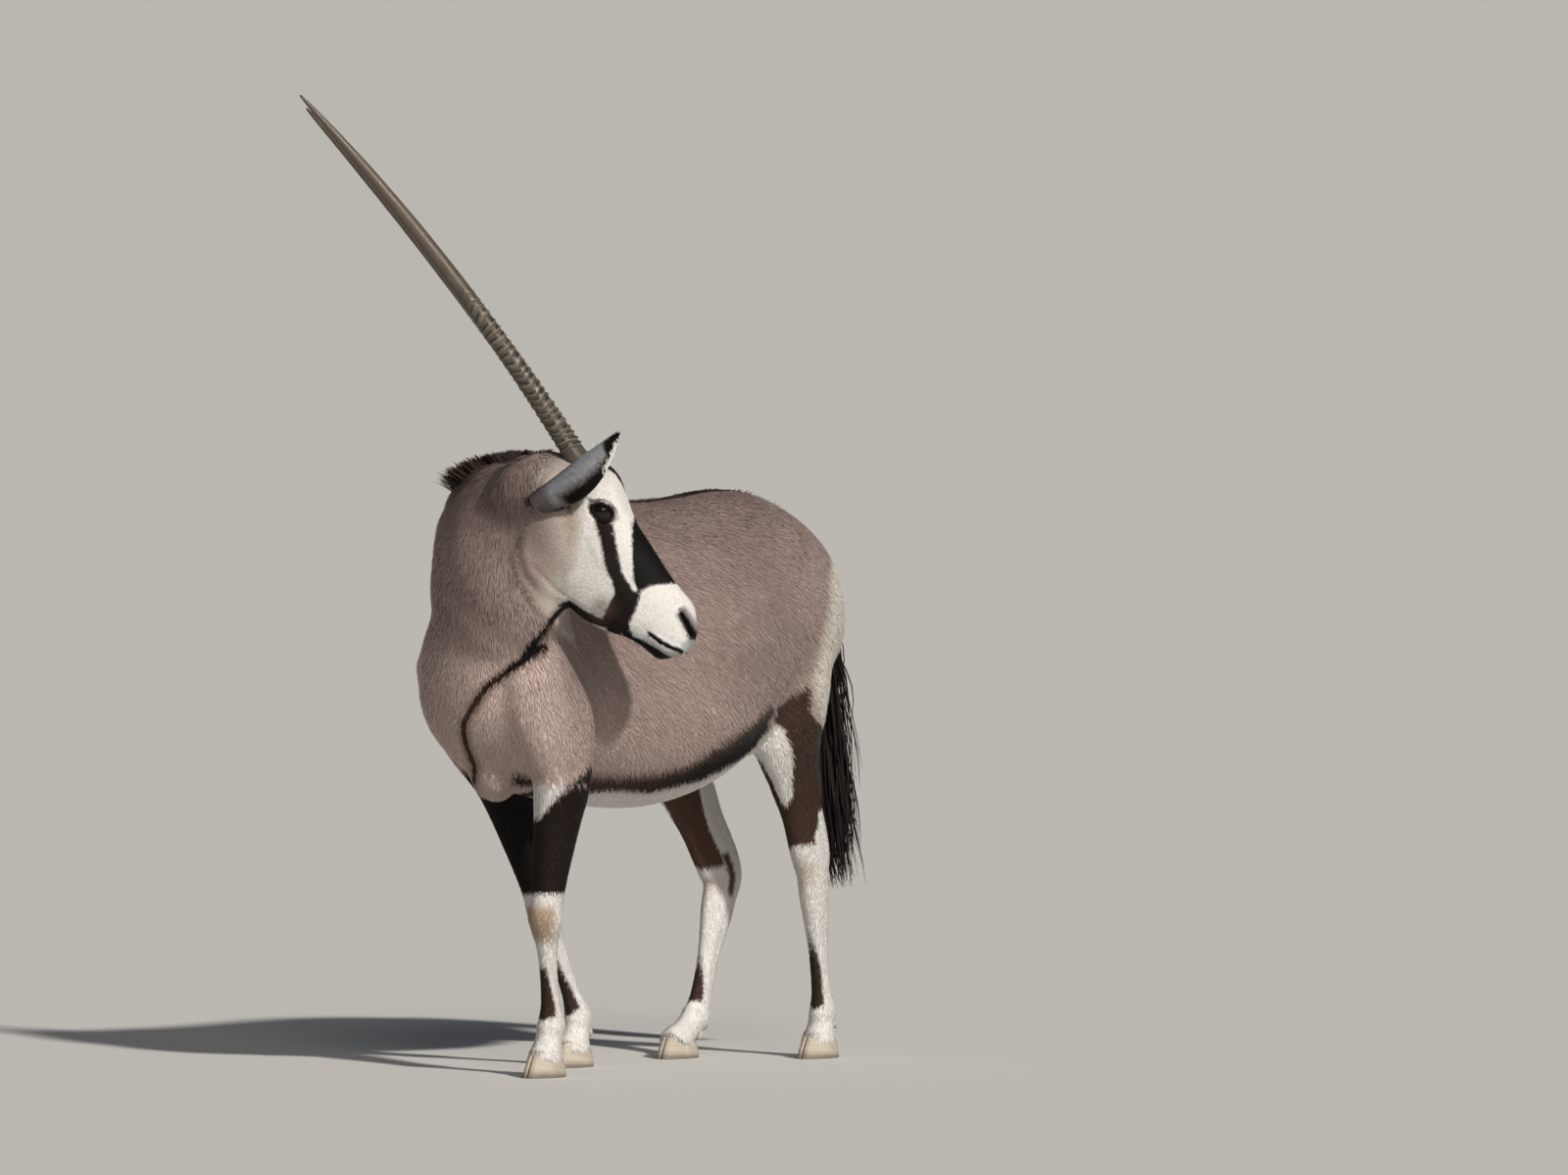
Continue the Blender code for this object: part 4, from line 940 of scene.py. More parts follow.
def on_left_leg(points, leg, place, fore):
    """The x and z that a point of a right leg has on the left leg, which bears the same marks."""
    x, z = points[:, 0].copy(), points[:, 2].copy()
    blend = smoothstep(0.82, 0.62, points[:, 2])
    for right, left in (("front_right", "front_left"), ("hind_right", "hind_left")):
        centres, _, ahead, rows = LEG_LINES[left]
        mine = leg == list(LEGS).index(right)
        at = [np.interp(place[mine], rows[:, 0], centres[:, k]) for k in (0, 2)]
        way = [np.interp(place[mine], rows[:, 0], ahead[:, k]) for k in (0, 2)]
        reach = np.interp(place[mine], rows[:, 0], rows[:, 1]) * fore[mine]
        x[mine] += blend[mine] * (at[0] + way[0] * reach - x[mine])
        z[mine] += blend[mine] * (at[1] + way[1] * reach - z[mine])
    return np.column_stack((x, z))


def hind_marks(flat, fore, out, right):
    """The hind legs' dark patches, as a distance inside them, and the white within and below them."""
    z = flat[:, 1]
    turn = smoothstep(-0.25, 0.25, out)
    patch = inside_by(flat, HIND_PATCH) * turn + inside_by(flat, HIND_INNER_PATCH) * (1 - turn)
    hock = np.minimum.reduce((z - 0.366, 0.45 - z, (0.20 - fore) * 0.03, (fore + 0.20) * 0.03))
    dark = np.maximum(patch, np.where(right, hock, -1))
    inner = np.minimum(0.72 - z, (-out - 0.05) * 0.06) - 0.02 * smoothstep(0.60, 0.72, z)
    return dark, np.maximum.reduce((inside_by(flat, THIGH_WHITE), 0.450 - z, inner))


def fore_marks(flat, fore, out, left):
    """The forelegs' dark, as a distance inside it, and the white below it and in a patch on the left one."""
    x, z = flat.T
    top = np.interp(x, (0.30, 0.364, 0.397, 0.44), (0.632, 0.617, 0.599, 0.580))
    inward = (0.95 - out - (0.585 - z) * 13) * 0.05
    patch = np.minimum.reduce((z - 0.515, 0.585 - z, inward, (fore + 0.5) * 0.05))
    patch = np.where(left, patch, -1)
    return np.minimum.reduce((top - z, z - 0.366, -patch)), np.maximum(patch, 0.378 - z)


def leg_marks(points):
    """The legs' dark and white as distances inside them, their tan and brown, and how far a leg is near."""
    leg, place, fore, out, near = leg_places(points)
    flat = on_left_leg(points, leg, place, fore)
    z = flat[:, 1]
    hind = leg >= 2
    dark_hind, white_hind = hind_marks(flat, fore, out, leg == HIND_RIGHT)
    dark_fore, white_fore = fore_marks(flat, fore, out, leg == FRONT_LEFT)
    foot = np.where(leg == HIND_LEFT, 0.100, 0.112)
    head = np.where(leg == HIND_LEFT, 0.262, 0.220)
    streak = fore - np.choose(leg, STREAK_FROM) - 0.50 * smoothstep(head - 0.09, head, z)
    cannon = np.minimum.reduce((z - foot - 0.012 * np.abs(out), head - z, streak * 0.024))
    dark = np.maximum(np.where(hind, dark_hind, dark_fore), cannon)
    white = np.where(hind, white_hind, white_fore)
    knee = smoothstep(0.262, 0.285, z) * smoothstep(0.355, 0.33, z) * ~hind
    below_hock = smoothstep(0.34, 0.37, z) * smoothstep(0.43, 0.39, z) * hind
    tan = smoothstep(-0.1, 0.6, fore) * knee * 0.95 + smoothstep(0.0, 0.7, fore) * below_hock * 0.35
    brown = np.where(z < 0.30, 0.45, np.choose(leg, LEG_BROWN))
    return dark, white, tan, brown, smoothstep(1.60, 1.15, near) * (points[:, 2] < LEGS_TOP)


EYE_STRIPE = (
    (0.104, -0.022), (0.123, -0.034), (0.155, -0.040), (0.186, -0.049), (0.213, -0.056), (0.238, -0.056),
    (0.260, -0.062), (0.272, -0.079), (0.282, -0.095), (0.294, -0.108), (0.294, -0.135), (0.340, -0.120),
    (0.346, -0.071), (0.327, -0.062), (0.312, -0.044), (0.300, -0.029), (0.282, -0.016), (0.270, -0.026),
    (0.256, -0.027), (0.234, -0.030), (0.204, -0.023), (0.173, -0.014), (0.150, -0.006), (0.104, 0.000),
)
# the crease behind the jaw, along which a dark line is painted as its shade
JAW_CREASE_SHADE = (
    (0.085, -0.180), (0.100, -0.190), (0.122, -0.198), (0.156, -0.201), (0.191, -0.190), (0.219, -0.174),
)
TEAR_LINE = ((0.118, -0.016), (0.140, -0.026), (0.160, -0.026))
BROW_STREAK = ((0.064, -0.030), (0.082, -0.020))
EAR_NOTCH = ((0.050, -0.063), (0.088, -0.069))


def head_dark(m, stripe, muzzle, hole):
    """The dark of the mask, as a distance inside it."""
    x, s, z = m.T
    foot = np.interp(x, (0.143, 0.147, 0.179, 0.214, 0.249, 0.276),
                     (0.034, 0.029, 0.015, -0.001, -0.016, -0.021))
    blaze = np.minimum.reduce((z - foot, x - 0.142 - 0.35 * s, muzzle - x))
    jaw = np.interp(x, (0.20, 0.235, 0.262, 0.287, 0.31), (-0.172, -0.148, -0.131, -0.113, -0.085))
    under = np.minimum.reduce((jaw - z, z - jaw + 0.026, 0.350 - x, x - 0.230))
    brow = np.minimum.reduce((0.041 * (1 - (x - 0.02) / 0.080) - s, 0.098 - x, z + 0.005, x + 0.07))
    a, b, out, _ = eye_measures(m)
    lids = np.where(out > -0.004, 0.022 * (1 - np.sqrt((a / 0.0300) ** 2 + (b / 0.0200) ** 2)), -1)
    tear, _ = along_line(m, TEAR_LINE)
    streak, _ = along_line(m, BROW_STREAK)
    notch, place = along_line(m, EAR_NOTCH)
    notch = 0.0060 - 0.0040 * place - notch
    line, place = along_line(m, MOUTH_LINE)
    lips = np.where(x > 0.346, 0.0050 * smoothstep(0, 0.15, place) - line, -1)
    _, place = along_line(m, NOSTRIL_LINE)
    nostril = 0.0072 + 0.0020 * place - hole
    chin = np.minimum.reduce((x - 0.335, mouth_height(x) - z - 0.024, 0.05 - s))
    lines = (0.008 - tear, 0.0022 - streak, notch, lips, nostril)
    return np.maximum.reduce((stripe, blaze, under, brow, lids, chin, *lines))


def head_grey(x, z, hole):
    """The grey skin of the nostril's wing, the nose and both lips."""
    above_mouth = z - mouth_height(x)
    wing = smoothstep(0.024, 0.008, hole) * smoothstep(0.034, 0.044, z) * 0.92
    nose = smoothstep(0.396, 0.410, x) * smoothstep(0.002, 0.016, z) * 0.90
    lower = smoothstep(0.350, 0.372, x) * smoothstep(0.004, -0.006, above_mouth) * 0.55
    upper = smoothstep(0.375, 0.410, x) * smoothstep(0.030, 0.010, np.abs(above_mouth - 0.012)) * 0.30
    return np.maximum.reduce((wing, nose, lower, upper))


def head_soft(m):
    """A painted shadow where the stripe meets the jaw, and a soft dark brown over the nostril."""
    x, _, z = m.T
    to_nostril, _ = along_line(m, NOSTRIL_LINE)
    return np.maximum.reduce((
        # painted shadow between the lower end of the stripe and the jaw
        0.65 * hump(m, (0.272, 0.04, -0.098), (0.020, 0.06, 0.024)),
        0.35 * hump(m, (0.290, 0.03, -0.118), (0.030, 0.05, 0.012)),
        0.70 * smoothstep(0.020, 0.008, to_nostril) * (z > 0.037) * (x > 0.34),
    ))


def head_marks(h):
    """The head's fields: dark and white as distances inside them, and the shares of its other shades."""
    x, s, z = h[:, 0], np.abs(h[:, 1]), h[:, 2]
    m = np.column_stack((x, s, z))
    stripe = np.minimum(inside_by(m[:, [0, 2]], EYE_STRIPE), s - 0.012)
    muzzle = np.interp(z, (-0.09, -0.075, -0.062, -0.04, -0.015, 0.011, 0.03, 0.05),
                       (0.350, 0.335, 0.318, 0.301, 0.279, 0.279, 0.286, 0.294))
    to_nostril, _ = along_line(m, NOSTRIL_LINE)
    hole = np.where((x > 0.34) & (z > 0.01), to_nostril, 1)
    cheek = np.interp(x, (0.033, 0.077, 0.119, 0.166, 0.193, 0.223),
                      (-0.040, -0.054, -0.074, -0.099, -0.131, -0.157))
    face = np.minimum((z - cheek) * 0.40, (x - 0.022) * 0.5)
    cream = 0.50 * smoothstep(-0.040, -0.004, face) * smoothstep(0.0, -0.02, z)
    return {
        "dark": head_dark(m, stripe, muzzle, hole),
        "white": np.where(x > muzzle - 0.004, np.maximum(x - muzzle, face), face),
        "tan": np.exp(-((face + 0.003) / 0.007) ** 2) * 0.7 * smoothstep(0.17, 0.11, x) * (z < -0.03),
        "brown": np.maximum.reduce((
            0.35 * smoothstep(0.10, 0.0, x) * smoothstep(-0.02, 0.0, z),
            0.08 * (stripe > -0.01) * (x < 0.335),
            0.75 * hump(m, (0.278, 0.04, -0.100), (0.026, 0.06, 0.030)),
        )),
        "grey": head_grey(x, z, hole),
        "cream": cream * (1 - 0.8 * smoothstep(0.225, 0.262, x) * smoothstep(0.014, 0.004, -stripe)),
        "soft": head_soft(m),
    }


def ear_measures(points, side):
    """The place along an ear, the turn to its front rim, which points lie on it, and their depth in it."""
    root, along, opens, across = (np.array(found) for found in ear_axes(side))
    length = (EAR_TIPS[side] - mirrored(EAR_ROOT, side)).length
    h = in_head(points)
    offset = h - root
    s = offset @ along / length
    radius, reach = ear_curl(s)
    swing = np.sin(math.pi * np.clip(s, 0, 1))
    flat = offset - np.outer(s * length, along)
    flat = flat + np.outer(EAR_BACK * swing - radius, opens) - np.outer(EAR_BOW * swing, EAR_BOW_WAY)
    turn = np.arctan2(flat @ across, -(flat @ opens)) / reach
    ring = np.linalg.norm(flat, axis=1)
    on = (s > 0.02) & (s < 1.05) & (np.abs(ring - radius + EAR_HALF_THICKNESS) < 0.0060)
    on &= (beside_head(h) > 0.0030) & (np.abs(turn) < 1.15)
    return s, turn * SIDES[side], on, radius - ring


def on_ears(points):
    return ear_measures(points, "left")[2] | ear_measures(points, "right")[2]


def raised(fields, name, value, where=slice(None)):
    """Raises a field to these values where it lies below them."""
    fields[name][where] = np.maximum(fields[name][where], value)


def mark_band_and_legs(fields, points):
    """The dark band along the flank, the white belly under it, and the marks of the legs."""
    x, _, z = points.T
    top, foot = np.interp(x, *BAND_TOP), np.interp(x, *BAND_FOOT)
    band = np.minimum.reduce((top - z, z - foot, x + 0.205, 0.37 - x))
    dark = np.where(z < LEGS_TOP, band, -1)
    white = np.minimum(foot - z, 0.40 - x)
    legs = np.flatnonzero(z < LEGS_TOP)
    leg_dark, leg_white, leg_tan, leg_brown, on_leg = leg_marks(points[legs])
    off_leg = 0.06 * (1 - on_leg)
    band_here = dark[legs] - 0.03 * on_leg * (x[legs] < -0.15)
    dark[legs] = np.maximum(band_here, np.minimum(leg_dark, 0.05) - off_leg)
    white[legs] = np.maximum(white[legs], np.minimum(leg_white, 0.05) - off_leg)
    fields["dark"], fields["white"] = dark, white
    fields["tan"][legs] = leg_tan * on_leg
    band_brown = 0.50 * smoothstep(0.034, 0.010, top[legs] - z[legs])
    fields["brown"][legs] = np.where(on_leg > 0.5, leg_brown, band_brown)
    edge = (z > top - 0.02) & (x < 0.37) & (x > -0.18) & (z < LEGS_TOP)
    raised(fields, "soft", 0.80 * smoothstep(0.022, 0.0, z - top) * edge)


def mark_throat(fields, points):
    """The dark line of long hair down the throat to the brisket, whose lower end also stands as painted
    shadow under the fold of the neck, and the hollow between the forelegs, darkened partly as painted shade.
    """
    x, y, z = points.T
    # the throat's dark hair, and along its lower end a painted shadow under the neck's fold
    throat, place = to_line(points, THROAT_LINE)
    low, _ = to_line(points[:, 1:], [at[1:] for at in THROAT_LINE])
    throat = np.where((z < 0.86) & (x > 0.47), low, throat)
    half = np.interp(place, (0.0, 0.35, 0.55, 0.75, 1.0), (0.012, 0.008, 0.006, 0.0055, 0.005))
    front = (x > 0.40) | (y > 0.12)
    raised(fields, "dark", np.where(front, 3.0 * (half - throat), -1))
    raised(fields, "soft", 0.55 * smoothstep(half + 0.016, half, throat) * front)
    # the hollow between the forelegs, darkened partly as painted shade
    pit = np.linalg.norm((points - np.array(BREAST_PIT_SHADE)) / np.array(BREAST_PIT_SHADE_SIZE), axis=1)
    raised(fields, "dark", 0.020 * (1 - pit))


def mark_back(fields, points, normals):
    """The dark stripe along the back, and the crest of the neck with its brown fringe."""
    x, y, z = points.T
    half = np.interp(x, (-0.48, -0.40, -0.30, 0.0, 0.25), (0.040, 0.045, 0.022, 0.014, 0.012))
    on_back = (z > 1.0) & (x < 0.30) & (normals[:, 2] > 0)
    raised(fields, "dark", np.where(on_back, half - np.abs(y), -1))
    crest_by, place = to_line(points, [crest(p)[0] for p in np.linspace(1.0, 6.0, 41)])
    half = np.interp(1 + 5 * place, (1.0, 1.8, 3.4, 4.1, 4.25, 4.8, 4.95, 6.0),
                     (0.010, 0.034, 0.028, 0.012, -0.01, -0.01, 0.006, 0.006))
    raised(fields, "soft", 0.75 * smoothstep(half + 0.040, half - 0.002, crest_by) * (half > 0))
    raised(fields, "dark", half - crest_by)


def mark_head(fields, h, nape):
    """The mask, faded out behind the nape."""
    head = nape > -0.035
    face = head_marks(h[head])
    face["dark"] -= 0.05 * smoothstep(0.0, -0.03, nape[head])
    face["cream"] *= smoothstep(-0.035, 0.0, nape[head])
    for name, value in face.items():
        raised(fields, name, value, head)


def mark_tone(fields, points, h, nape):
    """The pale rump, and how light the fawn is: lighter low down and over the rump, lighter at the breast and
    up the neck as painted light, and darker along a line behind the jaw as painted shade.
    """
    x, _, z = points.T
    rump = np.interp(z, (0.60, 0.761, 0.796, 0.855, 0.913, 0.97, 1.05),
                     (-0.400, -0.326, -0.345, -0.366, -0.393, -0.415, -0.50))
    fields["cream"] = smoothstep(rump + 0.02, rump - 0.04, x) * smoothstep(1.05, 0.98, z) * (x < -0.2)
    tone = np.interp(z, (0.58, 0.68, 0.80, 0.95, 1.08, 1.15), (0.88, 0.72, 0.50, 0.44, 0.28, 0.10))
    # painted light: the breast made lighter
    tone += 0.52 * smoothstep(0.40, 0.50, x) * smoothstep(0.95, 0.80, z)
    tone += 0.16 * smoothstep(-0.22, -0.42, x)
    # painted light: the upper neck made lighter
    tone += np.where(x > 0.35, 0.16 * smoothstep(0.9, 1.05, z), 0)
    # painted shade along the crease behind the jaw
    crease_shade, _ = along_line(h, JAW_CREASE_SHADE)
    fields["tone"] = tone - 0.55 * np.exp(-(crease_shade / 0.007) ** 2) * (nape > -0.05)


def mark_ear(fields, points, side):
    """An ear's grey back with its dark edge and tip, a dark line painted as the shade of a fold across it, a
    soft brown painted as shade over its foot, and its white hollow and rim.
    """
    s, front, on, depth = ear_measures(points, side)
    edge = np.minimum((front - 0.74 + 0.18 * smoothstep(0.9, 0.3, s)) * 0.06, (s - 0.26) * 0.2)
    tip = np.minimum((s - 0.80) * 0.20, (front + 0.3) * 0.08)
    # a dark line across the ear's back, painted as the shade of a fold
    crease_shade = 0.0022 - np.abs(front - 0.20 - 0.6 * (s - 0.35)) * 0.05
    crease_shade = np.minimum(crease_shade, np.minimum(s - 0.18, 0.60 - s) * 0.10)
    notch = np.minimum((front - 0.70) * 0.10, (0.30 - s) * 0.20)
    # painted shade over the foot of the ear, on its lower side
    base = np.minimum((0.15 - s) * 0.16, (front + 0.50) * 0.08)
    hollow = depth > EAR_HALF_THICKNESS
    rim = (front < -0.90) & (s > 0.66) | (front > 0.93) & (s > 0.70)
    pale = hollow | rim
    marks = np.maximum.reduce((edge, tip, crease_shade, notch - 0.01)) - 0.004
    values = {
        "dark": np.where(pale, -0.02, marks),
        "white": np.where(pale, 0.012, -0.05),
        "soft": 0.75 * smoothstep(-0.014, 0.004, np.maximum(edge, base)) * ~pale,
        "grey": np.where(rim, 0.0, np.where(hollow, 0.10, 1.0)),
        "brown": 0.0,
        "cream": 0.0,
        "tan": 0.0,
    }
    for name, value in values.items():
        fields[name] = np.where(on, value, fields[name])


def markings(points, normals):
    """Every field of the coat's colours at points of the body's frame."""
    h, nape = on_head(points)
    fields = {name: np.zeros(len(points)) for name in MARKS}
    mark_band_and_legs(fields, points)
    mark_throat(fields, points)
    mark_back(fields, points, normals)
    mark_tone(fields, points, h, nape)
    mark_head(fields, h, nape)
    for side in SIDES:
        mark_ear(fields, points, side)
    return fields


def crest(place):
    """The neck's upper line at a place counted in the neck's rows, with the way up and the way along."""
    row, ahead = catmull(NECK, [place, place + 0.05])
    up = unit(row[3:6])
    point = row[:3] + up * row[7]
    return point, up, unit(ahead[:3] + unit(ahead[3:6]) * ahead[7] - point)


def lie(points, normals):
    """The way the coat lies: back from the nose, down the neck, back and down the trunk, down the legs."""
    x, _, z = points.T
    h, nape = on_head(points)
    head = np.maximum(smoothstep(-0.02, 0.04, nape), on_ears(points))
    neck = smoothstep(0.30, 0.42, x)
    leg = smoothstep(0.68, 0.50, z)
    way = np.outer(1 - neck, (-0.75, 0.0, -0.65)) + np.outer(neck, (-0.35, -0.10, -0.93))
    way = way * (1 - leg)[:, None] + np.outer(leg, (-0.05, 0.0, -1.0))
    down = -0.5 * smoothstep(0.02, -0.06, h[:, 2])
    cheek = np.column_stack((-np.ones(len(x)), 0.25 * np.sign(h[:, 1]), down))
    way = way * (1 - head)[:, None] + (cheek @ HEAD_AXES.T) * head[:, None]
    way = way - normals * (way * normals).sum(axis=1)[:, None]
    return unit(way)


# ---------------------------------------------------------------- materials
def linked(tree, socket, value):
    """Sets an input to a number or a colour, or joins it to a node's output."""
    if isinstance(value, bpy.types.NodeSocket):
        tree.links.new(value, socket)
    elif isinstance(value, tuple) and len(value) == 3 and socket.type == "RGBA":
        socket.default_value = (*value, 1)
    else:
        socket.default_value = value


def node(tree, kind, inputs=(), **settings):
    made = tree.nodes.new(kind)
    for name, value in settings.items():
        setattr(made, name, value)
    for key, value in dict(inputs).items():
        linked(tree, made.inputs[key], value)
    return made


def maths(tree, operation, first, second=0.0):
    return node(tree, "ShaderNodeMath", {0: first, 1: second}, operation=operation).outputs[0]


def mixed(tree, factor, first, second, blend="MIX"):
    made = node(tree, "ShaderNodeMix", {0: factor, 6: first, 7: second}, data_type="RGBA", blend_type=blend)
    return made.outputs[2]


def ranged(tree, value, low, high, to_low=0.0, to_high=1.0):
    inputs = {"Value": value, "From Min": low, "From Max": high, "To Min": to_low, "To Max": to_high}
    return node(tree, "ShaderNodeMapRange", inputs, interpolation_type="SMOOTHSTEP").outputs[0]


def attribute(tree, name):
    return node(tree, "ShaderNodeAttribute", attribute_name=name).outputs["Fac"]


def place_in(tree, stretch=(1, 1, 1)):
    place = node(tree, "ShaderNodeTexCoord").outputs["Object"]
    if stretch == (1, 1, 1):
        return place
    return node(tree, "ShaderNodeMapping", {"Vector": place, "Scale": stretch}).outputs[0]


def speckle(tree, vector, scale, detail=3.0, rough=0.55):
    inputs = {"Vector": vector, "Scale": scale, "Detail": detail, "Roughness": rough}
    return node(tree, "ShaderNodeTexNoise", inputs).outputs["Fac"]


def plus(tree, base, value, share):
    """A value with a share of another on top."""
    return maths(tree, "ADD", base, maths(tree, "MULTIPLY", value, share))


def about_zero(tree, value, middle=0.5):
    """A value told from its middle, so that it adds nothing on the whole."""
    return maths(tree, "SUBTRACT", value, middle)


def bumped(tree, shader, height, strength, distance):
    """Raises the surface by a texture, as light sees it."""
    bump = node(tree, "ShaderNodeBump", {"Strength": strength, "Distance": distance, "Height": height})
    linked(tree, shader.inputs["Normal"], bump.outputs[0])


def material(name, roughness, **settings):
    """A new Principled material, and what is set on its shader's own sockets."""
    made = bpy.data.materials.new(name)
    made.use_nodes = True
    tree = made.node_tree
    shader = tree.nodes["Principled BSDF"]
    shader.inputs["Roughness"].default_value = roughness
    for key, value in settings.items():
        shader.inputs[key.replace("_", " ").title().replace("Ior", "IOR")].default_value = value
    return made, tree, shader


COLOURS = {
    "fawn_dark": (0.198, 0.143, 0.128),
    "fawn_light": (0.558, 0.430, 0.388),
    "cream": (0.850, 0.790, 0.700),
    "tan": (0.470, 0.350, 0.245),
    "white": (0.800, 0.770, 0.730),
    "black": (0.005, 0.004, 0.004),
    "brown": (0.092, 0.053, 0.034),
    "grey": (0.335, 0.350, 0.375),
}


def hide_colour(tree, place):
    """The coat's colour from its fields, with ragged edges and its shades from tuft to tuft."""
    ragged = about_zero(tree, speckle(tree, place, 110.0, 4.0, 0.7))
    wide = about_zero(tree, speckle(tree, place, 9.0, 3.0, 0.6))
    fine = about_zero(tree, speckle(tree, place, 420.0, 2.0, 0.6))
    tuft = about_zero(tree, attribute(tree, "tuft"))
    tip = attribute(tree, "tip")
    tone = attribute(tree, "tone")
    for value, share in ((wide, 0.35), (ragged, 0.14), (tuft, 0.12), (tip, 0.06)):
        tone = plus(tree, tone, value, share)
    edge = plus(tree, maths(tree, "MULTIPLY", ragged, 0.010), tuft, 0.005)
    white = maths(tree, "ADD", attribute(tree, "white"), edge)
    dark = maths(tree, "ADD", attribute(tree, "dark"), edge)
    colour = mixed(tree, ranged(tree, tone, 0.0, 1.1), COLOURS["fawn_dark"], COLOURS["fawn_light"])
    colour = mixed(tree, attribute(tree, "cream"), colour, COLOURS["cream"])
    colour = mixed(tree, ranged(tree, white, -0.006, 0.008), colour, COLOURS["white"])
    for name, paint in (("tan", "tan"), ("grey", "grey"), ("soft", "brown")):
        colour = mixed(tree, attribute(tree, name), colour, COLOURS[paint])
    deep = mixed(tree, attribute(tree, "brown"), COLOURS["black"], COLOURS["brown"])
    colour = mixed(tree, ranged(tree, dark, -0.003, 0.004), colour, deep)
    shade = plus(tree, maths(tree, "MULTIPLY", fine, 0.5), tuft, 0.30)
    shade = plus(tree, shade, about_zero(tree, tip, 0.45), 0.25)
    shade = ranged(tree, shade, -0.35, 0.35, 0.72, 1.22)
    light = node(tree, "ShaderNodeCombineColor", {0: shade, 1: shade, 2: shade}).outputs[0]
    return mixed(tree, 1.0, colour, light, "MULTIPLY")


def hide_material(name, bumps):
    made, tree, shader = material(name, 0.64, specular_ior_level=0.14, sheen_weight=0.02, sheen_roughness=0.5)
    linked(tree, shader.inputs["Base Color"], hide_colour(tree, place_in(tree)))
    if bumps:
        bumped(tree, shader, speckle(tree, place_in(tree, (1.0, 1.0, 0.35)), 520.0, 3.0, 0.6), 0.35, 0.0015)
    return made


# ---------------------------------------------------------------- the coat
def sampled(mesh, density, seed):
    """Points spread over a mesh, so many to a square metre at each vertex, with their normals."""
    mesh.calc_loop_triangles()
    corners = numbers_of(mesh.loop_triangles, "vertices", 3, np.int32)
    count = len(corners)
    points, normals = points_of(mesh), normals_of(mesh)
    a, b, c = (points[corners[:, k]] for k in range(3))
    area = np.linalg.norm(np.cross(b - a, c - a), axis=1) / 2
    wanted = area * density[corners].mean(axis=1)
    draw = np.random.default_rng(seed)
    many = np.floor(wanted + draw.random(count)).astype(int)
    chosen = np.repeat(np.arange(count), many)
    u, v = draw.random(len(chosen)), draw.random(len(chosen))
    over = u + v > 1
    u, v = np.where(over, 1 - u, u), np.where(over, 1 - v, v)
    weights = np.stack((1 - u - v, u, v), axis=1)
    tri = corners[chosen]
    at = (points[tri] * weights[:, :, None]).sum(axis=1)
    normal = unit((normals[tri] * weights[:, :, None]).sum(axis=1))
    return at, normal, draw


def tufts(name, at, normal, way, length, width, lift, fields, draw, unwrap, colour):
    """Closed flat spindles of five points and six triangles, one for each root, joined into one mesh."""
    count = len(at)
    turn = draw.normal(0, 0.12, count)
    across = np.cross(normal, way)
    way = unit(way * np.cos(turn)[:, None] + across * np.sin(turn)[:, None])
    across = np.cross(normal, way)
    length = length * draw.uniform(0.75, 1.25, count)
    width = width * draw.uniform(0.8, 1.2, count)
    lift = lift * draw.uniform(0.75, 1.30, count)
    root = at - normal * 0.0012
    middle = at + way * (length * 0.42)[:, None] + normal * (lift * 0.55)[:, None]
    tip = at + way * length[:, None] + normal * lift[:, None]
    points = np.stack((
        root, middle - across * (width / 2)[:, None], middle + across * (width / 2)[:, None],
        middle + normal * (width * 0.28)[:, None], tip,
    ), axis=1)
    pattern = np.array(((0, 1, 3), (0, 3, 2), (0, 2, 1), (4, 3, 1), (4, 2, 3), (4, 1, 2)))
    faces = (np.arange(count) * 5)[:, None, None] + pattern
    spread = np.array(((0, 0), (-0.0015, 0.0006), (0.0015, 0.0006), (0, 0.0012), (0, 0.0022)))
    uv = (unwrap[:, None, :] * 0.99 + 0.004 + spread)[:, pattern.ravel()].reshape(-1, 2)
    values = {key: np.repeat(value, 5) for key, value in fields.items()}
    values["tuft"] = np.repeat(draw.random(count), 5)
    values["tip"] = np.tile((0, 0.5, 0.5, 0.6, 1.0), count)
    piece = triangles(name, points.reshape(-1, 3), faces.reshape(-1, 3), values, uv)
    piece.data.materials.append(colour)
    piece.data.shade_smooth()
    shading = np.repeat(unit(normal + 0.35 * way), 5, axis=0)
    piece.data.normals_split_custom_set_from_vertices(shading.tolist())
    return piece


def stored(mesh, fields):
    """Keeps fields on a mesh, one number to each point, for the materials to read."""
    for key, value in fields.items():
        mesh.attributes.new(key, "FLOAT", "POINT").data.foreach_set("value", value.astype(np.float32))


def triangles(name, points, faces, values, uv):
    """A mesh object from arrays of points and triangles, with its fields and its unwrap."""
    mesh = bpy.data.meshes.new(name)
    mesh.vertices.add(len(points))
    mesh.vertices.foreach_set("co", np.ascontiguousarray(points, np.float32).ravel())
    mesh.loops.add(len(faces) * 3)
    mesh.loops.foreach_set("vertex_index", np.ascontiguousarray(faces, np.int32).ravel())
    mesh.polygons.add(len(faces))
    mesh.polygons.foreach_set("loop_start", np.arange(0, len(faces) * 3, 3, dtype=np.int32))
    mesh.update(calc_edges=True)
    stored(mesh, values)
    layer = mesh.uv_layers.new(name="OFBake")
    layer.uv.foreach_set("vector", np.ascontiguousarray(np.clip(uv, 0, 1), np.float32).ravel())
    return in_scene(name, mesh)


REGIONS = (
    "trunk_left", "trunk_right", "neck", "head", "front_legs", "hind_legs", "rump_left", "rump_right", "ears",
)


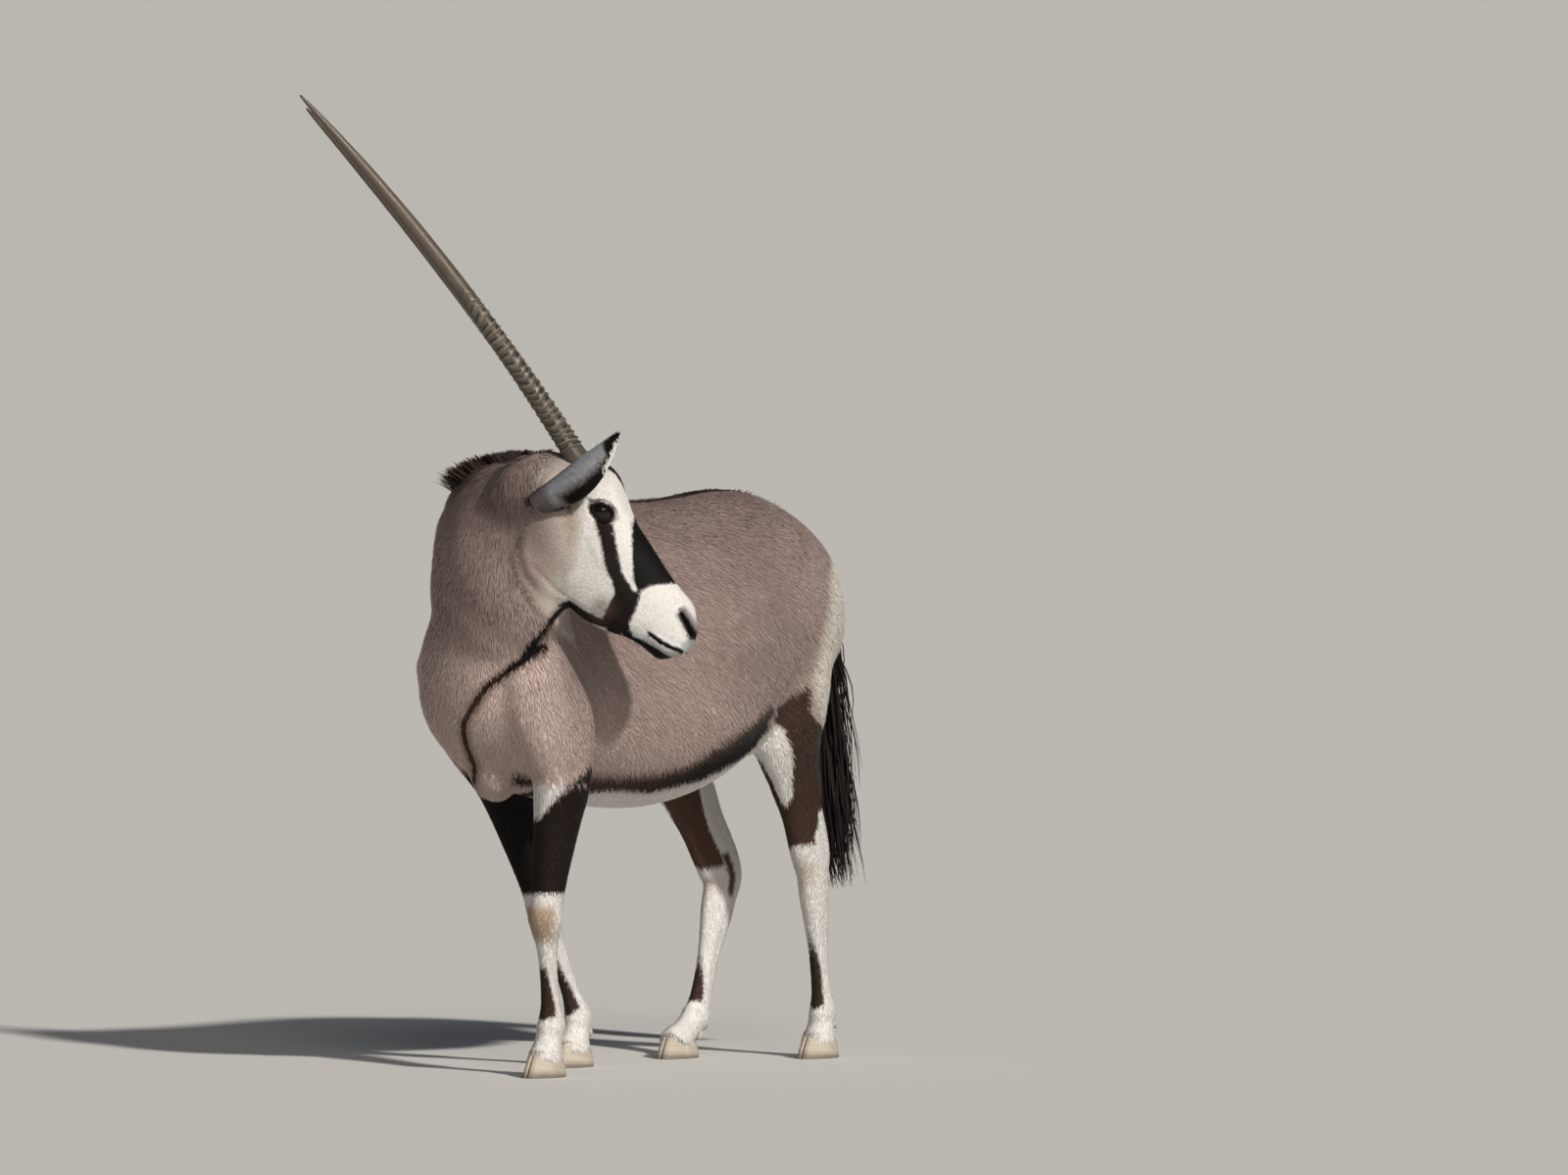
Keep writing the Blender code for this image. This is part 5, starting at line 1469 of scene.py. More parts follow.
def region_of(points):
    """Which piece of the coat a root belongs to, and its leg and its place along that leg."""
    x, y, z = points.T
    _, nape = on_head(points)
    leg, place, _, _, near = leg_places(points)
    on_leg = (z < 0.62) & (near < 1.5)
    # the first that holds counts
    tests = {
        "ears": on_ears(points),
        "head": nape > -0.01,
        "hind_legs": on_leg & (leg >= 2),
        "front_legs": on_leg,
        "neck": up_the_neck(points) > 0,
        "rump_left": (x < -0.06) & (y > 0),
        "rump_right": x < -0.06,
        "trunk_left": y > 0,
    }
    numbers = [REGIONS.index(name) for name in tests]
    return np.select(list(tests.values()), numbers, REGIONS.index("trunk_right")), leg, place


def turn_share(across, upward):
    """The turn about a middle line, as a share of a whole one."""
    return np.arctan2(across, upward) / (2 * math.pi) + 0.5


def unwrapped(points, region, leg, place):
    """A root's place on an unwrap of the skin: along each part, and the turn round its middle line."""
    x, y, z = points.T
    along, around = (x + 0.60) / 1.20, turn_share(y, z - 0.86)
    if region == "neck":
        rows = smooth_rows(NECK, 40)
        k = nearest(points, rows[:, :3])
        offset = points - rows[k, :3]
        side = unit(np.cross(rows[k, 3:6], (0, 0, 1.0)) + np.array((0, 1e-6, 0)))
        along = k / 40 + 0.02 * (offset @ np.array((0.5, 0.5, 0.5)))
        around = turn_share((offset * side).sum(axis=1), (offset * unit(rows[k, 3:6])).sum(axis=1))
    elif region in ("head", "ears"):
        h = in_head(points)
        along, around = (h[:, 0] + 0.10) / 0.55, turn_share(h[:, 1], h[:, 2] + 0.07)
    elif region in ("front_legs", "hind_legs"):
        centres = np.empty((len(points), 3))
        for index, name in enumerate(LEGS):
            line, _, _, rows = LEG_LINES[name]
            mine = leg == index
            for k in range(3):
                centres[mine, k] = np.interp(place[mine], rows[:, 0], line[:, k])
        along = place / 5.6
        around = (turn_share(y - centres[:, 1], x - centres[:, 0]) + leg % 2) / 2
    return np.clip(np.column_stack((along, around)), 0, 1)


def part_shares(points, nape):
    """How much of the coat at each point is the neck's, the head's and the legs'."""
    neck = smoothstep(-0.05, 0.05, up_the_neck(points))
    head = np.maximum(smoothstep(-0.02, 0.03, nape), on_ears(points))
    return neck, head, smoothstep(0.62, 0.45, points[:, 2])


def coat_density(points):
    """How many tufts stand on a square metre at each point of the skin: none on the eyelids and the nose."""
    h, nape = on_head(points)
    neck, head, leg = part_shares(points, nape)
    m = np.column_stack((h[:, 0], np.abs(h[:, 1]), h[:, 2]))
    _, _, out, opening = eye_measures(m)
    bare = ((out > 0) & (opening < 1.35)) | ((m[:, 0] > 0.402) & (m[:, 2] > -0.006))
    density = by_part(COAT_COUNT, neck, head, leg)
    return np.where(bare & (head > 0.5), 0, density)


def coat(mesh, colour):
    """Tufts over the whole skin, shortest on the face and the feet."""
    at, normal, draw = sampled(mesh, coat_density(points_of(mesh)), COAT_SEED)
    region, leg, place = region_of(at)
    way = lie(at, normal)
    fields = markings(at, normal)
    h, nape = on_head(at)
    shares = part_shares(at, nape)
    length, width, lift = (by_part(sizes, *shares) for sizes in (COAT_LENGTH, COAT_WIDTH, COAT_DEPTH))
    face = shares[1] * smoothstep(0.05, 0.30, h[:, 0])
    length = length * (1 - 0.45 * face) * (1 - 0.6 * smoothstep(0.035, 0.012, to_line(at, THROAT_LINE)[0]))
    width = width * (1 - 0.35 * face)
    pieces = []
    for index, name in enumerate(REGIONS):
        mine = region == index
        own = {key: value[mine] for key, value in fields.items()}
        unwrap = unwrapped(at[mine], name, leg[mine], place[mine])
        arrays = (array[mine] for array in (at, normal, way, length, width, lift))
        pieces.append(tufts(f"coat_{name}", *arrays, own, draw, unwrap, colour))
    return pieces


# ---------------------------------------------------------------- long hair
def strands(name, paths, widths, thick, flats, values, unwrap, colour):
    """Closed tapered locks of four sides, one along each path, joined into one mesh."""
    count, steps, _ = paths.shape
    along = np.empty_like(paths)
    along[:, 1:-1] = paths[:, 2:] - paths[:, :-2]
    along[:, 0], along[:, -1] = paths[:, 1] - paths[:, 0], paths[:, -1] - paths[:, -2]
    along = unit(along)
    flats = np.broadcast_to(flats[:, None, :], paths.shape)
    wide = unit(flats - along * (flats * along).sum(axis=2, keepdims=True))
    thin = np.cross(along, wide)
    w, t = widths[:, :, None] / 2, thick[:, :, None] / 2
    rings = np.stack((paths + wide * w, paths + thin * t, paths - wide * w, paths - thin * t), axis=2)
    pattern = [(0, 2, 1), (0, 3, 2)]
    for j in range(steps - 1):
        for i in range(4):
            a, b = 4 * j + i, 4 * j + (i + 1) % 4
            pattern += [(a, b, b + 4), (a, b + 4, a + 4)]
    last = 4 * (steps - 1)
    pattern += [(last, last + 1, last + 2), (last, last + 2, last + 3)]
    pattern = np.array(pattern)
    faces = (np.arange(count) * 4 * steps)[:, None, None] + pattern
    ring_uv = np.array(((-1, 0), (0, 0.3), (1, 0), (0, -0.3))) * 0.0012
    spread = np.concatenate([ring_uv + (0, 0.0024 * j / (steps - 1)) for j in range(steps)])
    uv = (unwrap[:, None, :] * 0.99 + 0.004 + spread)[:, pattern.ravel()].reshape(-1, 2)
    fields = {key: np.repeat(value, 4 * steps) for key, value in values.items()}
    fields["tip"] = np.tile(np.repeat(np.linspace(0, 1, steps), 4), count)
    piece = triangles(name, rings.reshape(-1, 3), faces.reshape(-1, 3), fields, uv)
    piece.data.materials.append(colour)
    return piece


def plain_fields(count, draw, **given):
    """The fields of hair that bears no marks, and what is given for it instead."""
    fields = {name: np.zeros(count) for name in MARKS}
    fields["white"] -= 0.1
    fields["dark"] -= 0.1
    fields["tuft"] = draw.random(count)
    for key, value in given.items():
        fields[key] = np.zeros(count) + value
    return fields


def hair_draw(kind):
    """The random draws for one kind of long hair, and how many hairs a piece of it has."""
    seed, count = LONG_HAIR[kind]
    return np.random.default_rng(seed), count


def straight(start, way, length, steps):
    """Straight paths of so many points, and the share of the length at each point."""
    share = np.linspace(0, 1, steps)[None, :, None]
    return start[:, None] + (way * length[:, None])[:, None] * share, share


def mane(colour):
    """The upright brush of dark locks along the neck's crest, from the withers to between the ears."""
    draw, count = hair_draw("mane")
    place = 1.4 + 4.5 * draw.random(count) ** 1.25
    crests = [crest(p) for p in place]
    point, up, along = (np.array([c[k] for c in crests]) for k in range(3))
    side = np.cross(along, up)
    table_length, fall = read(MANE, place, 1, 2)
    length = (table_length + 0.018) * draw.uniform(0.80, 1.05, count)
    across = draw.uniform(-1, 1, count)
    root = point - up * 0.024 + side * (across * np.interp(place, (3.5, 4.3), (0.016, 0.008)))[:, None]
    lean = draw.uniform(0.15, 0.40, count) * (1 - fall)
    aside = fall + 0.25 * across + draw.normal(0, 0.08, count)
    way = unit(up + side * aside[:, None] - along * lean[:, None])
    bend = -along * 0.10 + side * draw.normal(0, 0.06, count)[:, None]
    paths, share = straight(root, way, length, 5)
    paths = paths + (bend * length[:, None])[:, None] * share ** 2
    widths = np.outer(draw.uniform(0.003, 0.005, count), (1.0, 1.1, 1.0, 0.7, 0.12))
    thick = np.outer(draw.uniform(0.0012, 0.002, count), (1.0, 1.0, 0.8, 0.5, 0.2))
    pale = (place > 4.15) & (place < 4.85) & (draw.random(count) < 0.9)
    fields = plain_fields(count, draw, dark=np.where(pale, -0.1, 0.1), brown=draw.uniform(0.0, 0.7, count))
    fields["soft"] = np.where(pale, draw.uniform(0.2, 0.7, count), 0.0)
    fields["tone"] = np.where(pale, 0.2, 0.0)
    unwrap = np.column_stack((place / 6, across * 0.2 + 0.5))
    return strands("mane", paths, widths, thick, along, fields, unwrap, colour)


def tail_paths(draw, root, out, start):
    """The locks' paths from the dock: swelling outwards, waving, and drifting to one side at their ends."""
    count = len(root)
    spread = TUFT_SPREAD * draw.uniform(0.1, 1.0, count) * smoothstep(1.0, 3.5, start)
    reach = smoothstep(1.5, 4.2, start)
    full = draw.uniform(0.45, 1.0, count) ** 1.2
    short = root[:, 2] - 0.13
    low = short - (short - TUFT_END) * reach * full
    t = np.linspace(0, 1, 9)
    swell = np.outer(spread, np.sin(math.pi * 0.68 * t))
    wave = np.outer(draw.normal(0, 0.006, count), np.sin(2.2 * math.pi * t))
    stray = np.outer(reach * draw.normal(0, 0.010, count), t ** 2)
    drift_back, drift_aside = (np.outer(way * reach, t ** 2) for way in TUFT_DRIFT)
    paths = np.repeat(root[:, None], len(t), axis=1)
    paths[:, :, 0] += out[:, :1] * swell + wave + drift_back - np.abs(stray)
    paths[:, :, 1] += out[:, 1:2] * swell + np.roll(wave, 1, axis=0) + drift_aside + stray
    paths[:, :, 2] += np.outer(low - root[:, 2], t)
    path = np.array(TAIL_PATH[::-1])
    centre = np.interp(paths[:, :, 2], path[:, 2], path[:, 0])
    paths[:, :, 0] += (centre - centre[:, :1]) * (t > 0)
    # what hangs past the back of the solids' box is drawn in
    past = paths[:, :, 0] - (cad_box[0][0] - SHIFT.x)
    paths[:, :, 0] -= 0.8 * np.minimum(past, 0)
    return paths


def tail(colour):
    """The dock and its long black locks, which part and curve a little at their ends."""
    draw, count = hair_draw("tail")
    start = 1.6 + 4.4 * draw.random(count) ** 0.7
    turn = draw.uniform(0, 2 * math.pi, count)
    out = np.column_stack((0.85 * np.cos(turn), np.sin(turn), np.zeros(count)))
    radius = np.interp(start, range(len(TAIL_RADII)), TAIL_RADII)
    root = catmull(TAIL_PATH, start) + out * (radius * 0.7)[:, None]
    paths = tail_paths(draw, root, out, start)
    widths = np.outer(draw.uniform(0.003, 0.0065, count), (0.8, 1.0, 1.1, 1.1, 1.0, 0.9, 0.7, 0.45, 0.08))
    thick = np.outer(draw.uniform(0.0015, 0.003, count), (0.8, 1, 1, 1, 1, 0.9, 0.7, 0.5, 0.15))
    fields = plain_fields(count, draw, dark=0.1, brown=draw.uniform(0, 0.15, count))
    flats = np.column_stack((-out[:, 1], out[:, 0], np.zeros(count)))
    unwrap = np.column_stack((start / 6, turn / (2 * math.pi)))
    locks = strands("tail_locks", paths, widths, thick, flats, fields, unwrap, colour)
    places = np.linspace(0, len(TAIL_RADII) - 1, 40)
    radii = np.interp(places, range(len(TAIL_RADII)), TAIL_RADII) * 0.9
    dock = tube("tail_dock", catmull(TAIL_PATH, places), radii, (0, 1, 0), 20)
    stored(dock.data, plain_fields(len(dock.data.vertices), draw, dark=0.1, tuft=0.5, tip=0.3))
    return locks, dock


def back_ridge(colour):
    """Short dark hairs that stand along the middle of the back."""
    draw, count = hair_draw("back_ridge")
    x = draw.uniform(-0.46, 0.24, count)
    top, = read(TRUNK, x, 1)
    half = np.interp(x, (-0.46, -0.40, -0.30, 0.0, 0.25), (0.030, 0.032, 0.014, 0.008, 0.007))
    y = draw.uniform(-1, 1, count) * half
    root = np.column_stack((x, y, top - 0.007))
    backwards = np.full(count, -1.2)
    way = unit(np.column_stack((backwards, draw.normal(0, 0.18, count), draw.uniform(0.55, 1.1, count))))
    paths, share = straight(root, way, draw.uniform(0.016, 0.029, count), 4)
    paths[:, :, 2] -= 0.006 * share[:, :, 0] ** 2
    widths = np.outer(draw.uniform(0.0018, 0.0032, count), (1.0, 1.0, 0.7, 0.1))
    fields = plain_fields(count, draw, dark=0.1, brown=0.5)
    unwrap = np.column_stack((x + 0.6, y + 0.5))
    flats = np.tile((0.0, 1.0, 0.0), (count, 1))
    return strands("back_ridge", paths, widths, widths * 0.35, flats, fields, unwrap, colour)


def ear_hair(side, colour):
    """Pale hair that grows inwards from both rims of an ear and half covers its hollow."""
    draw, count = hair_draw("ear")
    root, along, opens, across = (np.array(found) for found in ear_axes(side))
    s = draw.uniform(0.18, 0.90, count)
    radius, reach = ear_curl(s)
    turn = reach * draw.uniform(0.72, 0.95, count) * draw.choice((-1, 1), count)
    bow = np.array(EAR_BOW_WAY) * EAR_BOW - opens * EAR_BACK
    spine = root + np.outer(s, np.array(EAR_TIPS[side]) - root) + np.outer(np.sin(math.pi * s), bow)
    rim = np.outer(np.sin(turn), across) - np.outer(np.cos(turn), opens)
    start = spine + np.outer(radius, opens) + rim * (radius - 0.002)[:, None]
    way = unit(-rim * 0.55 + along * 0.9 + draw.normal(0, 0.15, (count, 3)))
    length = draw.uniform(0.014, 0.026, count) * (1 - 0.4 * s)
    paths, _ = straight(start, way, length, 4)
    widths = np.outer(draw.uniform(0.0014, 0.0026, count), (1.0, 1.0, 0.7, 0.1))
    fields = plain_fields(count, draw, white=0.1)
    unwrap = np.column_stack((s, turn / (2 * math.pi) + 0.5))
    flats = np.tile(tuple(HEAD_AXES @ along), (count, 1)) + draw.normal(0, 0.3, (count, 3))
    return strands(f"ear_hair_{side}", from_head(paths), widths, widths * 0.3, flats, fields, unwrap, colour)


def lashes(side, colour):
    """The row of dark hairs along an upper eyelid."""
    draw, count = hair_draw("lashes")
    wide, down, out = eye_axes()
    angle = np.radians(draw.uniform(198, 342, count))
    a, b = 0.0188 * np.cos(angle), 0.0142 * np.sin(angle)
    ball = np.sqrt(EYE_RADIUS ** 2 - a ** 2 - b ** 2)
    start = np.array(EYE_AT) + np.outer(a, wide) + np.outer(b, down) + np.outer(ball + 0.0010, out)
    way = unit(np.outer(a * 26, wide) + np.outer(b * 10, down) + out * 0.9)
    paths, share = straight(start, way, draw.uniform(0.009, 0.014, count), 5)
    paths = (paths + down * 0.004 * share ** 2) * (1, SIDES[side], 1)
    widths = np.outer(np.full(count, 0.0009), (1.0, 0.9, 0.7, 0.5, 0.15))
    fields = plain_fields(count, draw, dark=0.1)
    unwrap = np.column_stack((a * 10 + 0.5, b * 10 + 0.5))
    flats = np.tile(tuple(HEAD_AXES @ wide), (count, 1))
    return strands(f"lashes_{side}", from_head(paths), widths, widths * 0.8, flats, fields, unwrap, colour)


# ---------------------------------------------------------------- horns, eyes and hooves
# the turn at which the rings stand out most, and the points round a horn
RING_FRONT, HORN_AROUND = -0.75, 36
# the colour of the ring crests is a painted highlight, that of the grooves between them a painted shade, and
# the flecks are small painted highlights
HORN_COLOURS = {
    "dark": (0.052, 0.042, 0.030),
    "light": (0.092, 0.074, 0.053),
    "ring_light": (0.145, 0.118, 0.086),
    "groove": (0.012, 0.009, 0.007),
    "smooth": (0.098, 0.072, 0.052),
    "tip": (0.040, 0.040, 0.042),
    "fleck": (0.26, 0.21, 0.16),
}
EYE_DARK, EYE_LIGHT, PUPIL, EYE_EDGE = (
    (0.004, 0.002, 0.001), (0.012, 0.006, 0.003), (0.002, 0.002, 0.003), (0.006, 0.004, 0.003),
)
HOOF_DARK, HOOF_LIGHT, HOOF_WORN = (0.300, 0.255, 0.200), (0.600, 0.530, 0.430), (0.100, 0.080, 0.066)


def horn_line(side, places):
    """The middles of a horn's rings, with the ways along, across and over there."""
    root, tip = mirrored(HORN_ROOT, side), HORN_TIPS[side]
    line = [root.lerp(tip, s) + Vector((0, 0, HORN_BOWS[side] * 4 * s * (1 - s))) for s in places.tolist()]
    centres = np.array([tuple(HEAD_MATRIX @ point) for point in line])
    along = unit(np.gradient(centres, axis=0))
    across = unit(np.cross(along, (0, 0, 1)))
    return centres, across, np.cross(along, across)


def horn_section(s, turns):
    """The radius round a horn at a place along it, with its rings and fibres, and the field of painted light
    on the rings: above zero on their crests, below zero in their grooves.
    """
    radius = HORN_TIP_RADIUS + (HORN_RADIUS - HORN_TIP_RADIUS) * (1 - max(s, 0) ** 2) ** 0.68
    wobble = 0.0012 * np.sin(turns * 2 + 9 * s) + 0.0008 * np.sin(turns * 3 - 14 * s + 1)
    count = HORN_RINGS * (np.clip((s + wobble * 3 - 0.012) / RINGED_PART, 0, 1.05) ** (1 / 1.15))
    count = count + 0.12 * np.sin(count * 2.1) + 0.12 * np.sin(turns + count * 1.3)
    phase = count - np.floor(count)
    # the grooves between the rings only darken the colour, as painted shade
    swell = np.exp(-((phase - 0.5) / 0.18) ** 2)
    groove = np.exp(-((phase - 0.80) / 0.13) ** 2)
    fade = smoothstep(RINGED_PART + 0.02, RINGED_PART - 0.10, s) * smoothstep(-0.01, 0.02, s)
    ahead = 0.65 + 0.35 * np.cos(turns - RING_FRONT)
    height = (0.0042 + 0.0010 * np.sin(count * 3.7)) * (1 - 0.30 * s / RINGED_PART)
    fibres = 0.00025 * np.sin(turns * 17 + 5 * np.sin(9 * s)) * smoothstep(0.0, 0.1, s)
    rise = height * ahead * (swell - 0.40) * fade + fibres * min(1, radius / 0.01)
    return radius + rise, (swell * 0.5 - groove) * fade


def horn(side):
    """A long straight horn, ringed in its lower half, smooth and pointed above."""
    start = -HORN_DEPTH / (HORN_TIPS[side] - mirrored(HORN_ROOT, side)).length
    ringed = np.linspace(start, RINGED_PART + 0.03, HORN_RINGS * 12)
    places = np.concatenate((ringed, np.linspace(0.50, 0.985, 40), (0.994, 1.0)))
    turns = np.arange(HORN_AROUND) * 2 * math.pi / HORN_AROUND
    rings, ring_lights = [], []
    for s, centre, across, over in zip(places, *horn_line(side, places)):
        r, ring_light = horn_section(s, turns)
        rings.append(centre + np.outer(r * np.cos(turns), across) + np.outer(r * np.sin(turns), over))
        ring_lights.append(ring_light)
    made = loft(f"horn_piece_{side}", rings)
    fields = {"along": np.repeat(np.clip(places, 0, 1), HORN_AROUND), "ring_light": np.concatenate(ring_lights)}
    stored(made.data, fields)
    return made


def horn_material():
    made, tree, shader = material("horn", 0.42, specular_ior_level=0.45)
    place = place_in(tree)
    along, ring_light = attribute(tree, "along"), attribute(tree, "ring_light")
    patch = speckle(tree, place, 26.0, 4.0, 0.65)
    fine = speckle(tree, place, 260.0, 3.0, 0.6)
    base = mixed(tree, ranged(tree, patch, 0.35, 0.65), HORN_COLOURS["dark"], HORN_COLOURS["light"])
    # painted highlight on the ring crests, painted shade in the grooves between them, and small painted
    # highlights as flecks
    layers = (
        ("ring_light", ranged(tree, ring_light, 0.0, 0.5)),
        ("groove", ranged(tree, ring_light, -0.1, -0.9)),
        ("smooth", ranged(tree, along, 0.42, 0.60)),
        ("tip", ranged(tree, along, 0.94, 1.0)),
        ("fleck", ranged(tree, fine, 0.52, 0.75, 0.0, 0.30)),
    )
    for name, share in layers:
        base = mixed(tree, share, base, HORN_COLOURS[name])
    linked(tree, shader.inputs["Base Color"], base)
    linked(tree, shader.inputs["Roughness"], ranged(tree, patch, 0.3, 0.7, 0.28, 0.50))
    bumped(tree, shader, speckle(tree, place_in(tree, (1.0, 1.0, 0.06)), 330.0, 4.0, 0.7), 0.45, 0.0012)
    return made


def eye(side):
    """The eyeball with its bulging cornea, turned to look out between the lids."""
    wide, down, out = eye_axes()
    rings, pupil, iris = [], [], []
    segments = 56
    turns = np.arange(segments) * 2 * math.pi / segments
    angles = np.radians(np.concatenate(([1.2], np.linspace(4, 60, 26), np.linspace(66, 176, 22))))
    for angle in angles:
        bulge = 0.0006 * smoothstep(math.radians(44), math.radians(25), angle)
        r = EYE_RADIUS - 0.0006 + bulge
        a, b = r * math.sin(angle) * np.cos(turns), r * math.sin(angle) * np.sin(turns)
        rings.append(np.outer(a, wide) + np.outer(b, down) + out * (r * math.cos(angle)))
        in_front = math.cos(angle) > 0
        pupil.append(np.where(in_front, 1 - np.sqrt((a / 0.0095) ** 2 + (b / 0.0048) ** 2), -1.0))
        iris.append(np.where(in_front, np.hypot(a, b) / 0.0150, 2.0))
    rings = [from_head((ring + np.array(EYE_AT)) * (1, SIDES[side], 1)) for ring in rings]
    made = loft(f"eyeball_{side}", rings)
    stored(made.data, {"pupil": np.concatenate(pupil), "iris": np.concatenate(iris)})
    return made


def eye_material():
    made, tree, shader = material("eye", 0.02, specular_ior_level=0.5)
    fleck = speckle(tree, place_in(tree), 900.0, 3.0, 0.6)
    colour = mixed(tree, fleck, EYE_DARK, EYE_LIGHT)
    colour = mixed(tree, ranged(tree, attribute(tree, "pupil"), -0.10, 0.10), colour, PUPIL)
    colour = mixed(tree, ranged(tree, attribute(tree, "iris"), 0.86, 1.06), colour, EYE_EDGE)
    linked(tree, shader.inputs["Base Color"], colour)
    return made


def hoof(name):
    """The two claws of a foot, with growth lines, a rounded sole edge and the cleft between them."""
    coronet = LEGS[name][1][-1]
    angles = np.linspace(0, math.pi, 41)
    sole_edge = {0.0: 0.0016, 0.03: 0.0005, 0.07: 0.0}
    heights = np.concatenate((list(sole_edge), np.linspace(0.12, 1.0, 30)))
    points, faces = [], []
    for side in SIDES.values():
        faces += ring_faces(len(heights), len(angles), len(points))
        for height in heights:
            taper = 1 - height
            length = HOOF_TOP_LENGTH + (HOOF_SOLE_LENGTH - HOOF_TOP_LENGTH) * taper
            width = HOOF_TOP_WIDTH + (HOOF_SOLE_WIDTH - HOOF_TOP_WIDTH) * taper
            growth = 0.0005 * math.sin(height * 62) + 0.0003 * math.sin(height * 23 + 1)
            trim = sole_edge.get(height, growth)
            x = HOOF_SOLE_AHEAD * taper + (length / 2 - trim) * np.cos(angles)
            point = 1 - HOOF_POINT * smoothstep(0, 1, np.cos(angles))
            y = CLEFT / 2 + ((width - CLEFT) / 2 * point - trim) * np.sin(angles) ** 0.75
            y[0] = y[-1] = CLEFT / 2
            top = CORONET_HEIGHT - 0.0004 + CORONET_SLOPE * x
            points.extend(np.stack((coronet[0] + x, coronet[1] + side * y, top * height), axis=1))
    made = mesh_object(f"hoof_{name}", points, faces)
    stored(made.data, {"level": np.tile(np.repeat(heights, len(angles)), 2)})
    return made


def hoof_material():
    made, tree, shader = material("hoof", 0.5, specular_ior_level=0.4)
    patch = speckle(tree, place_in(tree), 40.0, 4.0, 0.65)
    colour = mixed(tree, patch, HOOF_DARK, HOOF_LIGHT)
    worn = ranged(tree, attribute(tree, "level"), 0.45, 0.05, 0.0, 0.75)
    colour = mixed(tree, worn, colour, HOOF_WORN)
    linked(tree, shader.inputs["Base Color"], colour)
    linked(tree, shader.inputs["Roughness"], ranged(tree, patch, 0.3, 0.7, 0.42, 0.66))
    bumped(tree, shader, speckle(tree, place_in(tree, (0.25, 0.25, 1.0)), 420.0), 0.5, 0.001)
    return made


def coronet_fringe(name, colour):
    """The pale hairs that hang over the upper edge of a hoof."""
    draw, count = hair_draw("coronet")
    coronet = LEGS[name][1][-1]
    turn = draw.uniform(0, 2 * math.pi, count)
    x = (HOOF_TOP_LENGTH / 2 - 0.003) * np.cos(turn)
    y = (HOOF_TOP_WIDTH / 2 - 0.003) * np.sign(np.sin(turn)) * np.abs(np.sin(turn)) ** 0.8
    z = CORONET_HEIGHT + CORONET_SLOPE * x + draw.uniform(-0.001, 0.014, count)
    out = unit(np.column_stack((np.cos(turn), np.sin(turn), np.zeros(count))))
    at = np.column_stack((coronet[0] + x, coronet[1] + y, z)) - out * (z - CORONET_HEIGHT)[:, None] * 0.12
    way = unit(out * 0.12 + (0.03, 0, -1.0))
    pale = draw.uniform(-0.006, 0.03, count)
    fields = plain_fields(count, draw, white=pale, tan=draw.uniform(0, 0.25, count))
    fields.pop("tuft")
    length = draw.uniform(0.012, 0.019, count)
    unwrap = np.column_stack((turn / (2 * math.pi), z * 4))
    width, lift = np.full(count, 0.0022), np.full(count, 0.0012)
    return tufts(f"fringe_{name}", at, out, way, length, width, lift, fields, draw, unwrap, colour)


def dewclaws(name):
    """The two small horny knobs behind the fetlock."""
    centres, along, fore, rows = LEG_LINES[name]
    place = 4.40 if name.startswith("front") else 3.40
    k = int(np.argmin(np.abs(rows[:, 0] - place)))
    steps, around = 9, 16
    turns = np.arange(around) * 2 * math.pi / around
    axis = unit(along[k] * 0.9 - fore[k] * 0.5)
    right = unit(np.cross(axis, fore[k]))
    back = np.cross(axis, right)
    points, faces = [], []
    for side in SIDES.values():
        faces += ring_faces(steps, around, len(points))
        centre = centres[k] - fore[k] * rows[k, 1] * 0.86 + np.array((0, side * rows[k, 2] * 0.52, 0))
        for t in np.linspace(0, 1, steps):
            r = 0.0078 * math.sin(math.pi * min(t * 0.92 + 0.06, 0.98)) ** 0.7
            ring = centre + axis * (0.022 * (t - 0.45)) + np.outer(r * np.cos(turns), right)
            points.extend(ring + np.outer(0.8 * r * np.sin(turns), back))
    made = mesh_object(f"dewclaws_{name}", points, faces)
    stored(made.data, {"level": np.full(len(points), 0.5)})
    return made


# ---------------------------------------------------------------- the whole
def kept(piece, colour=None):
    """Sets a finished piece in the frame: smooth, in its place, riding on the still body."""
    if colour:
        piece.data.materials.clear()
        piece.data.materials.append(colour)
    if not piece.data.has_custom_normals:
        piece.data.shade_smooth()
    piece.data.transform(Matrix.Translation(SHIFT))
    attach(piece, "root")
    return piece


def dressed():
    """Every piece of the model, in place of the nodes that it covers."""
    skin_colour = hide_material("hide_skin", True)
    coat_colour = hide_material("hide_coat", False)
    horn_colour, eye_colour, hoof_colour = horn_material(), eye_material(), hoof_material()
    skin = hide()
    skin.name = "hide"
    mesh = skin.data
    fields = markings(points_of(mesh), normals_of(mesh))
    everywhere = np.ones(len(mesh.vertices))
    stored(mesh, fields | {"tuft": 0.5 * everywhere, "tip": 0.3 * everywhere})
    for piece in coat(mesh, coat_colour):
        kept(piece)
    kept(skin, skin_colour)
    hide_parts("torso", "neck", "head", "ear_left", "ear_right", *(f"leg_{name}" for name in LEGS))
    kept(mane(coat_colour))
    kept(back_ridge(coat_colour))
    locks, dock = tail(coat_colour)
    kept(locks)
    kept(dock, coat_colour)
    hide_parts("tail")
    for side in SIDES:
        piece = kept(horn(side), horn_colour)
        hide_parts(f"horn_{side}")
        piece = kept(eye(side), eye_colour)
        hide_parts(f"eye_{side}")
        kept(ear_hair(side, coat_colour))
        kept(lashes(side, coat_colour))
    for name in LEGS:
        piece = kept(hoof(name), hoof_colour)
        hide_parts(f"claw_{name}_outer", f"claw_{name}_inner")
        kept(coronet_fringe(name, coat_colour))
        kept(dewclaws(name), hoof_colour)


